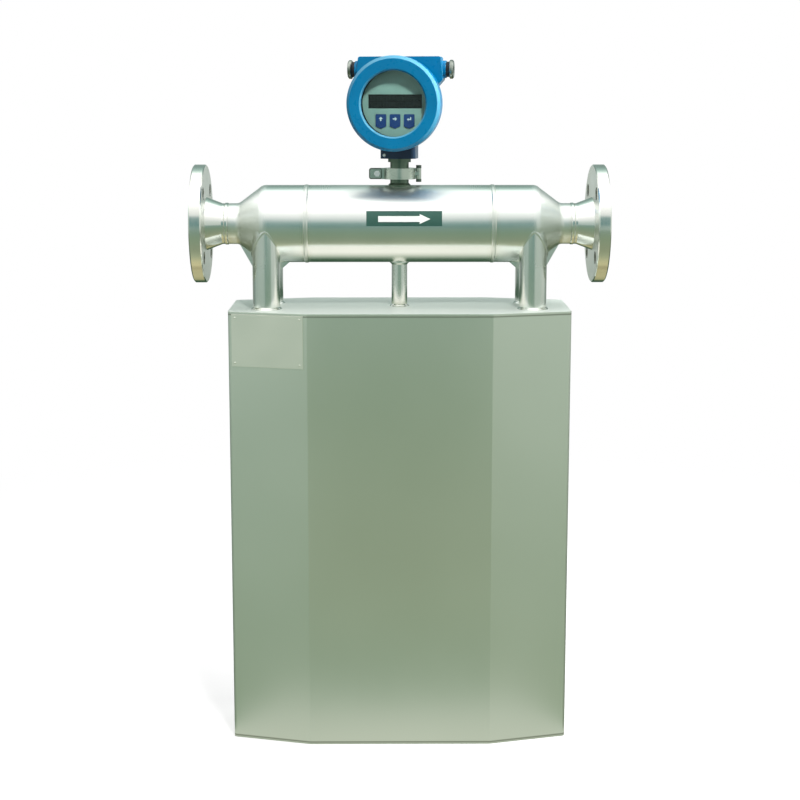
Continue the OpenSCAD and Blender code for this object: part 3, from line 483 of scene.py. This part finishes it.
def glass():
    """Clear flat glass: it mirrors a little, more at a slant, and lets the rest through."""
    g = Finish("window_glass", principled=False)
    facing = g.new("LayerWeight")
    facing.inputs["Blend"].default_value = 0.5
    slant = g.math("POWER", facing.outputs["Facing"], 5.0)
    through = g.plain("BsdfTransparent", linear(242, 250, 248))
    mirror = g.new("BsdfGlossy")
    g.put(mirror.inputs["Roughness"], g.between(g.noise(30.0, 2.0), 0.3, 0.7, 0.02, 0.05))
    g.show(g.mix_surfaces(g.plus(g.times(slant, 0.9), 0.015), through, mirror.outputs[0]))
    return g


FINISHES = {
    "case_steel": case_steel(),
    "pipe_steel": pipe_steel(),
    "flange_steel": flange_steel(),
    "bright_steel": bright_steel(),
    "plate_steel": plate_steel(),
    "coil_copper": copper(),
    "black_rubber": rubber(),
    "label_teal": paint("label_teal", linear(54, 90, 80), linear(46, 80, 72), rough=0.35, coat=0.3, peel=0.00002),
    "arrow_white": paint("arrow_white", linear(240, 244, 240), linear(228, 234, 230), rough=0.4, coat=0.2,
                         peel=0.00002),
    "navy_paint": paint("navy_paint", linear(40, 62, 86), linear(32, 50, 72), rough=0.38, coat=0.3, edge=0.6 * MM,
                        worn=linear(70, 84, 104)),
    "blue_paint": blue_paint(),
    "face_grey": plastic("face_grey", linear(164, 188, 182), linear(154, 180, 174), rough=0.5, edge=0.4 * MM),
    "display_black": display_black(),
    "board_green": plastic("board_green", linear(30, 96, 60), linear(22, 80, 50), rough=0.45),
    "key_blue": plastic("key_blue", linear(16, 64, 138), linear(10, 52, 122), rough=0.35, coat=0.2, edge=0.5 * MM),
    "window_glass": glass(),
}
WELD = weld_steel()
BOLT = bolt_steel()
CAST = dark_cast()
STEM = stem_steel()
GLAND = gland_steel()

# Nodes whose finish differs from the rest of their slot; the neck's tubes take the darker steel with painted shade
OWN_FINISH = {
    "clamp_bolt": BOLT, "foot_screw": BOLT, "clamp_hinge_pin": CAST, "neck_stem": STEM, "sensor_neck": STEM,
    "left_gland_nut": GLAND, "right_gland_nut": GLAND, "left_gland_body": GLAND, "right_gland_body": GLAND,
}
for name, node in NODES.items():
    node.data.materials.clear()
    node.data.materials.append(OWN_FINISH.get(name, FINISHES[SLOT_OF[name]]).material)


# ---- Welds and small trim ----


def add_piece(name, vertices, faces, body, slot, smooth=True, finish=None):
    """Adds a solid that rides on a body, in its slot's finish unless it is given another."""
    mesh = bpy.data.meshes.new(name)
    mesh.from_pydata(vertices, [], faces)
    shell = bmesh.new()
    shell.from_mesh(mesh)
    bmesh.ops.recalc_face_normals(shell, faces=shell.faces)
    shell.to_mesh(mesh)
    shell.free()
    for face in mesh.polygons:
        face.use_smooth = smooth
    mesh.materials.append((finish or FINISHES[slot]).material)
    piece = bpy.data.objects.new(name, mesh)
    bpy.context.scene.collection.objects.link(piece)
    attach(piece, body)


RIPPLE = 2.4 * MM  # from one ripple of a weld to the next
RIPPLE_STEPS = 5
BEAD_SIDES = 8
SUNK = 0.3 * MM  # how far the edges of a bead lie under the steel


def weld(name, place, length, width, height, slot, closed=True, ground=False):
    """A bead of overlapping ripples. place(t) gives its point and the way its crown faces, for t from 0 to 1.

    A ground bead has a soft crown that runs out into the steel, with only a trace of its ripples.
    """
    count = max(6, round(length / RIPPLE)) * RIPPLE_STEPS
    spans = count if closed else count - 1
    spots = [place(i / spans) for i in range(count)]
    vertices, faces = [], []
    for i, (point, out) in enumerate(spots):
        after = spots[(i + 1) % count if closed else min(i + 1, count - 1)][0]
        before = spots[i - 1 if closed or i else 0][0]
        side = (after - before).cross(out).normalized()
        for k in range(BEAD_SIDES + 1):
            across = 2 * k / BEAD_SIDES - 1
            phase = (i / RIPPLE_STEPS + 0.5 * across * across) % 1.0
            if ground:
                crown = height * (1 + math.cos(math.pi * across)) / 2 * (0.94 + 0.06 * (1 - phase))
            else:
                crown = height * math.sqrt(max(0.0, 1 - across * across)) * (0.7 + 0.3 * (1 - phase) ** 0.7)
            vertices.append(point + side * across * width / 2 + out * (crown - SUNK))
        vertices.append(point - out * 2 * SUNK)
    ring = BEAD_SIDES + 2
    for i in range(spans):
        here, there = i * ring, (i + 1) % count * ring
        for k in range(ring):
            faces.append((here + k, here + (k + 1) % ring, there + (k + 1) % ring, there + k))
    if not closed:
        faces.append(tuple(range(ring)))
        faces.append(tuple((count - 1) * ring + k for k in reversed(range(ring))))
    add_piece(name, vertices, faces, "sensor", slot, finish=None if ground else WELD)


def ground_weld(name, place, radius, width, height):
    """A ground bead right round a tube of some radius."""
    weld(name, place, 2 * math.pi * radius, width, height, "pipe_steel", ground=True)


def girth(x, radius):
    """A circle round the pipe's axis."""
    def place(t):
        out = Vector((0, math.cos(2 * math.pi * t), math.sin(2 * math.pi * t)))
        return Vector((x, 0, PIPE_Z)) + out * radius, out
    return place


def saddle(x, y, radius):
    """Where an upright tube meets the underside of the manifold."""
    def place(t):
        side = Vector((math.cos(2 * math.pi * t), math.sin(2 * math.pi * t), 0))
        point = Vector((x, y, 0)) + side * radius
        point.z = PIPE_Z - math.sqrt(MANIFOLD_R ** 2 - point.y ** 2)
        down = Vector((0, point.y, point.z - PIPE_Z)).normalized()
        return point, (side + down).normalized()
    return place


def foot(x, y, radius, z):
    """Halfway up the sloped fillet at the foot of an upright tube."""
    def place(t):
        side = Vector((math.cos(2 * math.pi * t), math.sin(2 * math.pi * t), 0))
        return Vector((x, y, z)) + side * radius, (side + Vector((0, 0, 1))).normalized()
    return place


FILLET = 3 * MM  # at the foot of each upright tube
NECK_R = 28.5 * MM  # outside of the pipe at NECK_X
SIDE_SEAM_ENDS = (5 * MM, CASE_TOP - 6 * MM)  # heights between which the case's side seams run


def tube_welds(name, node, at, width, height):
    """The beads of an upright tube: one at its top, as wide and high as given, and a slimmer one at its foot."""
    radius = extent(node).x / 2 - FILLET
    ground_weld(f"{name}_saddle_weld", saddle(*at, radius + 0.4 * MM), radius, width, height)
    ground_weld(f"{name}_foot_weld", foot(*at, radius + FILLET / 2, CASE_TOP + FILLET / 2), radius,
                width=3.6 * MM, height=0.7 * MM)


def make_welds():
    low, high = SIDE_SEAM_ENDS
    for side, word in ((-1, "inlet"), (1, "outlet")):
        ground_weld(f"{word}_seam_weld", girth(side * SEAM_X, MANIFOLD_R + SUNK), MANIFOLD_R,
                    width=5 * MM, height=0.5 * MM)
        ground_weld(f"{word}_neck_weld", girth(side * (NECK_X - 0.5 * MM), NECK_R + SUNK), NECK_R,
                    width=5 * MM, height=0.6 * MM)
        for row in ("front", "rear"):
            node = f"{word}_{row}_sleeve"
            tube_welds(f"{word}_{row}", node, middle(node).xy, width=5 * MM, height=0.7 * MM)

        def side_seam(t, side=side):
            return Vector((side * CASE_X, 0, low + (high - low) * t)), Vector((side, 0, 0))
        weld(f"case_{word}_side_weld", side_seam, high - low, width=5 * MM, height=0.7 * MM, slot="case_steel",
             closed=False)
    tube_welds("post", "wiring_post", (0, 0), width=4.6 * MM, height=1.1 * MM)


def dome(vertices, faces, at, out, radius, height):
    """Adds a round rivet head that stands on a point."""
    side = out.orthogonal().normalized()
    other = out.cross(side)
    rings = ((1.0, -0.2), (1.0, 0.12), (0.93, 0.45), (0.72, 0.8), (0.4, 0.97))
    turns = 20
    start = len(vertices)
    for share, rise in rings:
        for i in range(turns):
            angle = 2 * math.pi * i / turns
            vertices.append(at + (side * math.cos(angle) + other * math.sin(angle)) * radius * share
                            + out * height * rise)
    vertices.append(at + out * height)
    for r in range(len(rings) - 1):
        for i in range(turns):
            j = (i + 1) % turns
            faces.append((start + r * turns + i, start + r * turns + j,
                          start + (r + 1) * turns + j, start + (r + 1) * turns + i))
    top = start + (len(rings) - 1) * turns
    faces.extend((top + i, top + (i + 1) % turns, len(vertices) - 1) for i in range(turns))
    faces.append(tuple(start + i for i in reversed(range(turns))))


def make_plate_rivets():
    """Four drive rivets that hold the name plate to the case."""
    inset = 5 * MM  # from the plate's edges to the middle of each rivet
    points = [vertex.co.copy() for vertex in NODES["name_plate"].data.vertices]
    low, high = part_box("name_plate")
    left = min(points, key=lambda p: p.x)
    right = min((p for p in points if p.x > high.x - 2 * MM), key=lambda p: p.y)
    along = Vector((right.x - left.x, right.y - left.y, 0)).normalized()
    out = Vector((along.y, -along.x, 0))
    reach = max(p.dot(out) for p in points)
    starts = [p.dot(along) for p in points]
    vertices, faces = [], []
    for run in (min(starts) + inset, max(starts) - inset):
        for z in (low.z + inset, high.z - inset):
            at = along * run + out * reach + Vector((0, 0, z))
            dome(vertices, faces, at, out, radius=1.4 * MM, height=0.5 * MM)
    add_piece("name_plate_rivets", vertices, faces, "sensor", "plate_steel")


EAR_REACH = 18 * MM  # from the clamp's end to the inner edge of its ears
RIM_RISE = 0.7 * MM
RIM_CORNER = 3 * MM
RIM_TURNS = 6  # steps round each corner
# The rim's section: how far in from its outer edge, and how high in shares of its rise
RIM_SECTION = ((0.0, -0.2), (0.25 * MM, 0.7), (0.6 * MM, 1.0), (1.15 * MM, 1.0), (1.5 * MM, -0.2))


def make_ear_rims():
    """A raised cast rim round the flat face of each ear of the clamp."""
    low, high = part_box("clamp_front_half")
    centre_x, centre_z = low.x + EAR_REACH / 2, (low.z + high.z) / 2
    half_x, half_z = EAR_REACH / 2, (high.z - low.z) / 2
    for name, direction in (("clamp_front_half", -1), ("clamp_rear_half", 1)):
        end = (vertex.co for vertex in NODES[name].data.vertices if vertex.co.x < low.x + 2 * MM)
        face = max(abs(point.y) for point in end) * direction
        loops = []
        for inset, lift in RIM_SECTION:
            round_r = max(RIM_CORNER - inset, 0.3 * MM)
            loop = []
            for sign_x, sign_z, start in ((1, 1, 0), (-1, 1, 90), (-1, -1, 180), (1, -1, 270)):
                for i in range(RIM_TURNS + 1):
                    angle = math.radians(start + 90 * i / RIM_TURNS)
                    loop.append(Vector((centre_x + sign_x * (half_x - RIM_CORNER) + round_r * math.cos(angle),
                                        face + direction * RIM_RISE * lift,
                                        centre_z + sign_z * (half_z - RIM_CORNER) + round_r * math.sin(angle))))
            loops.append(loop)
        count = len(loops[0])
        vertices = [point for loop in loops for point in loop]
        faces = []
        for r in range(len(loops)):
            here, there = r * count, (r + 1) % len(loops) * count
            faces.extend((here + i, here + (i + 1) % count, there + (i + 1) % count, there + i) for i in range(count))
        add_piece(f"{name}_rim", vertices, faces, "sensor", "bright_steel", finish=CAST)


# Outlines of the marks on the keys, in shares of their half width
UP_MARK = ((-1, 0), (0, 1), (1, 0), (0.32, 0), (0.32, -1), (-0.32, -1), (-0.32, 0))
RIGHT_MARK = tuple((y, -x) for x, y in UP_MARK)
ENTER_MARK = ((-1, -0.25), (-0.25, -1), (-0.25, -0.5), (1, -0.5), (1, 0.85), (0.5, 0.85), (0.5, 0), (-0.25, 0),
              (-0.25, 0.5))


def make_key_marks():
    """White printed arrows, a little proud of the upper half of each key."""
    half, rise, sunk, proud = 2.9 * MM, 3.4 * MM, 0.1 * MM, 0.12 * MM
    for key, outline in (("left_key", UP_MARK), ("middle_key", RIGHT_MARK), ("right_key", ENTER_MARK)):
        low, high = head_box(key)
        centre = Vector(((low.x + high.x) / 2, low.y, (low.z + high.z) / 2 + rise))
        count = len(outline)
        vertices = [HEAD_MATRIX @ (centre + Vector((x * half, depth, z * half)))
                    for depth in (sunk, -proud) for x, z in outline]
        faces = [tuple(range(count)), tuple(reversed(range(count, 2 * count)))]
        faces.extend((i, (i + 1) % count, count + (i + 1) % count, count + i) for i in range(count))
        add_piece(f"{key}_mark", vertices, faces, key, "arrow_white", smooth=False)


make_welds()
make_plate_rivets()
make_ear_rims()
make_key_marks()


# ---- Studio: floor, surroundings, lamps and camera ----


def make_world():
    world = bpy.data.worlds.new("studio")
    bpy.context.scene.world = world
    world.use_nodes = True
    g = Graph(world.node_tree, "OutputWorld")
    g.show(g.for_view(g.plain("Background"), g.plain("Background", (0.93, 0.97, 1.0, 1), Strength=0.14)))


def add_stage(mesh, finish, mirrors_only=True):
    """Adds a thing of the stage, which only mirrors see unless it is told otherwise."""
    mesh.materials.append(finish.material)
    thing = bpy.data.objects.new(mesh.name, mesh)
    bpy.context.scene.collection.objects.link(thing)
    if mirrors_only:
        thing.visible_camera = False
        thing.visible_diffuse = False
        thing.visible_transmission = False
        thing.visible_shadow = False
    return thing


def flat_sheet(name, low, high, z):
    """A level rectangle between two corners, at some height."""
    mesh = bpy.data.meshes.new(name)
    mesh.from_pydata([(low[0], low[1], z), (high[0], low[1], z), (high[0], high[1], z), (low[0], high[1], z)],
                     [], [(0, 1, 2, 3)])
    return mesh


FLOOR_HALF = 14
FADE_FROM, FADE_TO = 0.5, 1.8  # metres from the meter's middle between which the floor fades to white


def make_floor():
    """A pale floor that keeps the meter's shadow and fades to plain white away from it."""
    g = Finish("floor", principled=False)
    near = g.new("AddShader")
    g.link(g.plain("BsdfDiffuse", (0.28, 0.28, 0.28, 1)), near.inputs[0])
    g.link(g.plain("Emission", Strength=0.78), near.inputs[1])
    away = g.between(g.vector_math("LENGTH", g.place), FADE_FROM, FADE_TO, kind="SMOOTHSTEP")
    seen = g.mix_surfaces(away, near.outputs[0], g.plain("Emission"))
    g.show(g.for_view(seen, g.plain("BsdfDiffuse", (0.45, 0.45, 0.43, 1))))
    sheet = flat_sheet("floor", (-FLOOR_HALF, -FLOOR_HALF), (FLOOR_HALF, FLOOR_HALF), 0)
    floor = add_stage(sheet, g, mirrors_only=False)
    floor.visible_glossy = False


def make_bright_patch():
    """The pale floor close to the meter, as its steel mirrors it."""
    g = Finish("floor_patch", principled=False)
    g.show(g.plain("Emission", linear(202, 206, 192)))
    add_stage(flat_sheet("floor_patch", (-0.26, -0.24), (0.26, 0.24), 1 * MM), g)


# Shares of the way from the plate card's front edge to its rear edge, and the colour of the painted reflection there,
# dim where it stands for shade at the rear
PLATE_CARD = ((0.19, linear(255, 252, 243)), (0.27, linear(222, 224, 210)), (0.36, linear(150, 166, 148)),
              (0.47, linear(58, 84, 64)))


def make_plate_card():
    """A painted reflection for the pipe's underside: a glowing card over the case's plate that only mirrors see, pale
    at the front and with painted shade at the rear, seen from above.
    """
    g = Finish("plate_card", principled=False)
    across = g.new("TexCoord").outputs["Generated"]
    ramp = g.new("ValToRGB")
    stops = ramp.color_ramp.elements
    for stop, (position, colour) in zip(stops, (PLATE_CARD[0], PLATE_CARD[-1])):
        stop.position, stop.color = position, colour
    for position, colour in PLATE_CARD[1:-1]:
        stops.new(position).color = colour
    g.link(g.axis(across, "Y"), ramp.inputs[0])
    ends = g.between(g.absolute(g.minus(g.axis(across, "X"), 0.5)), 0.38, 0.49)  # the card fades out at both ends
    unseen = g.most(ends, g.new("NewGeometry").outputs["Backfacing"])
    g.show(g.mix_surfaces(unseen, g.plain("Emission", ramp.outputs[0], Strength=1.15), g.plain("BsdfTransparent")))
    add_stage(flat_sheet("plate_card", (-0.17, -0.085), (0.17, 0.16), CASE_TOP + 3 * MM), g)


# What the steel mirrors: a colour from 0 to 255 at each height in degrees, in front of the meter and behind it
FRONT_WALL = ((-90, (236, 220, 170)), (-72, (216, 210, 168)), (-60, (170, 180, 152)), (-48, (146, 158, 134)),
              (-24, (134, 156, 133)), (-10, (132, 157, 145)), (-3, (112, 148, 142)), (4, (132, 166, 163)),
              (9, (190, 206, 202)), (16, (242, 247, 247)), (24, (255, 255, 255)), (90, (255, 255, 255)))
BACK_WALL = ((-90, (236, 222, 174)), (-74, (210, 204, 160)), (-56, (196, 190, 148)), (-42, (172, 170, 130)),
             (-33, (62, 88, 67)), (-22, (58, 84, 64)), (-12, (120, 142, 126)), (-5, (222, 228, 224)),
             (0, (210, 220, 215)), (6, (180, 197, 190)), (16, (140, 160, 154)), (38, (126, 148, 142)),
             (50, (144, 166, 160)), (62, (232, 238, 238)), (74, (255, 255, 255)), (90, (255, 255, 255)))
# How much white light the lower walls carry at each turn in degrees, where turns to the left of the front are below 0;
# a number below 0 dims them instead
SIDE_LIGHT = ((-180, 0.0), (-162, 0.0), (-150, -0.5), (-112, -0.45), (-98, 0.5), (-13, 0.5), (-8, 0.0), (8, 0.0),
              (13, 0.8), (34, 0.75), (62, 0.75), (80, 1.0), (106, 1.0), (118, -0.4), (150, -0.5), (162, 0.0),
              (180, 0.0))
WALL_WHITE = linear(228, 234, 228)
LOW_WARM = linear(186, 186, 148)  # the light's colour nearer the ground
LOW_SHARE = 0.3  # how much of it is left there
POST_COLOUR = linear(104, 142, 142)  # two upright things either side of the camera, which the flange rims mirror
POST_TURN = 10
SKY_LIFT = 0.8  # how much brighter than white the sky is


def from_stops(stops, at):
    """The value at a place between stops, which are pairs of a place and a number or a colour."""
    for (low, first), (high, second) in zip(stops, stops[1:]):
        if at <= high:
            share = (at - low) / (high - low)
            if isinstance(first, tuple):
                return tuple(a + (b - a) * share for a, b in zip(first, second))
            return first + (second - first) * share
    return stops[-1][1]


def ease(value, low, high):
    """Goes softly from 0 to 1 as the value goes from low to high."""
    share = min(1.0, max(0.0, (value - low) / (high - low)))
    return share * share * (3 - 2 * share)


def blend(a, b, share):
    """The colour some share of the way from a to b, without its alpha."""
    return [first * (1 - share) + second * share for first, second in zip(a[:3], b[:3])]


def wall_colour(turn, height):
    """The surroundings' colour, for a turn from the front and a height, both in degrees."""
    off = abs(turn)
    wider = 25 * ease(height, 0, 12)  # the front wall reaches further round above the horizon
    behind = ease(off, 95 + wider, 130 + wider)
    colour = blend(linear(*from_stops(FRONT_WALL, height)), linear(*from_stops(BACK_WALL, height)), behind)

    upper = ease(height, -10, -7.5)
    light = from_stops(SIDE_LIGHT, turn) * (1 - ease(height, 5, 27)) * (LOW_SHARE + (1 - LOW_SHARE) * upper)
    if light < 0:
        colour = [value * (1 + light) for value in colour]
    else:
        colour = blend(colour, blend(LOW_WARM, WALL_WHITE, upper), light)

    post = 1 - ease(abs(off - POST_TURN), 2, 3.5)  # half its width, with soft edges
    post *= ease(height, -3, 2) * (1 - ease(height, 15, 20)) * (1 - behind)
    colour = blend(colour, POST_COLOUR, post)

    beside = ease(off, 62, 76) * (1 - ease(off, 114, 132))
    lift = 1 + SKY_LIFT * max(ease(height, 20, 55), beside * ease(height, 5, 14))
    lift *= 1 - 0.3 * beside * (1 - ease(height, -13, -5))
    return [value * lift for value in colour] + [1.0]


def add_wall(mesh, colour_at, place=(0, 0, 0), see_through=False):
    """Adds a mesh that only mirrors see, and that glows in the colour that colour_at gives each of its points."""
    colours = mesh.color_attributes.new("wall", "FLOAT_COLOR", "POINT")
    for vertex, colour in zip(mesh.vertices, colours.data):
        colour.color = colour_at(vertex.co)
    g = Finish(mesh.name, principled=False)
    painted = g.new("VertexColor")
    painted.layer_name = "wall"
    glow = g.plain("Emission", painted.outputs["Color"])
    g.show(g.mix_surfaces(painted.outputs["Alpha"], g.plain("BsdfTransparent"), glow) if see_through else glow)
    add_stage(mesh, g).location = place


def make_surroundings():
    """A round wall of soft colour: warm ground below, grey-green towards the horizon, white overhead."""
    shell = bmesh.new()
    bmesh.ops.create_uvsphere(shell, u_segments=180, v_segments=90, radius=7.0)
    mesh = bpy.data.meshes.new("surroundings")
    shell.to_mesh(mesh)
    shell.free()

    def colour_at(point):
        turn = math.degrees(math.atan2(point.x, -point.y))
        height = math.degrees(math.asin(max(-1.0, min(1.0, point.z / point.length))))
        return wall_colour(turn, height)
    add_wall(mesh, colour_at, place=(0, 0, PIPE_Z))


# The front card's place, half its width, how far its top is below the pipe's axis, and its squares
CARD_Y = -0.5
CARD_HALF = 0.26
CARD_BELOW = 0.01
CARD_ROWS, CARD_COLUMNS = 30, 24


def make_front_card():
    """The dim things just in front of the meter, as the pipe and its legs mirror them."""
    line = CARD_COLUMNS + 1
    spots = [(CARD_HALF * (2 * c / CARD_COLUMNS - 1), CARD_Y, (PIPE_Z - CARD_BELOW) * r / CARD_ROWS)
             for r in range(CARD_ROWS + 1) for c in range(line)]
    corners = [r * line + c for r in range(CARD_ROWS) for c in range(CARD_COLUMNS)]
    mesh = bpy.data.meshes.new("front_card")
    mesh.from_pydata(spots, [], [(i, i + 1, i + line + 1, i + line) for i in corners])

    def colour_at(point):
        height = math.degrees(math.atan2(point.z - PIPE_Z, -CARD_Y))
        share = (1 - ease(abs(point.x), 0.2, CARD_HALF)) * ease(height, -57, -50) * (1 - ease(height, -8, -2))
        return linear(*from_stops(FRONT_WALL, height))[:3] + (share,)
    add_wall(mesh, colour_at, see_through=True)


LAMP_TARGET = Vector((0, 0, 0.6))
# Name, place, width, power and colour of each lamp
LAMPS = (("key_lamp", (0.5, -2.0, 2.8), 0.36, 82, (1.0, 0.99, 0.97)),
         ("side_lamp", (1.8, -0.2, 1.7), 1.0, 60, (1.0, 1.0, 1.0)),
         ("fill_lamp", (-2.6, -1.6, 1.4), 2.0, 6, (0.96, 0.99, 1.0)),
         ("back_lamp", (0.5, 2.8, 1.6), 1.4, 50, (1.0, 1.0, 1.0)))


def make_lamps():
    """Round soft lamps, which the steel doesn't mirror."""
    for name, place, width, power, colour in LAMPS:
        data = bpy.data.lights.new(name, "AREA")
        data.shape = "DISK"
        data.size = width
        data.energy = power
        data.color = colour
        lamp = bpy.data.objects.new(name, data)
        lamp.location = place
        lamp.rotation_euler = (LAMP_TARGET - Vector(place)).to_track_quat("-Z", "Y").to_euler()
        lamp.visible_glossy = False
        bpy.context.scene.collection.objects.link(lamp)


# The camera stands where the photographer stood; the lens is longer, so that one meter fills the picture
CAMERA_PLACE = (-0.0217, -2.2218, 0.8993)
CAMERA_DOWN = 8.98  # degrees below level
CAMERA_TURN = 0.33  # degrees to the right
CAMERA_LENS = 71.1
CAMERA_SHIFT = (0.0086, -0.06)


def make_camera():
    data = bpy.data.cameras.new("camera")
    data.lens = CAMERA_LENS
    data.shift_x, data.shift_y = CAMERA_SHIFT
    data.clip_end = 60
    camera = bpy.data.objects.new("camera", data)
    camera.location = CAMERA_PLACE
    camera.rotation_euler = (math.radians(90 - CAMERA_DOWN), 0, math.radians(-CAMERA_TURN))
    bpy.context.scene.collection.objects.link(camera)
    bpy.context.scene.camera = camera


make_world()
make_floor()
make_bright_patch()
make_surroundings()
make_front_card()
make_plate_card()
make_lamps()
make_camera()
bpy.context.scene.view_settings.view_transform = "Standard"
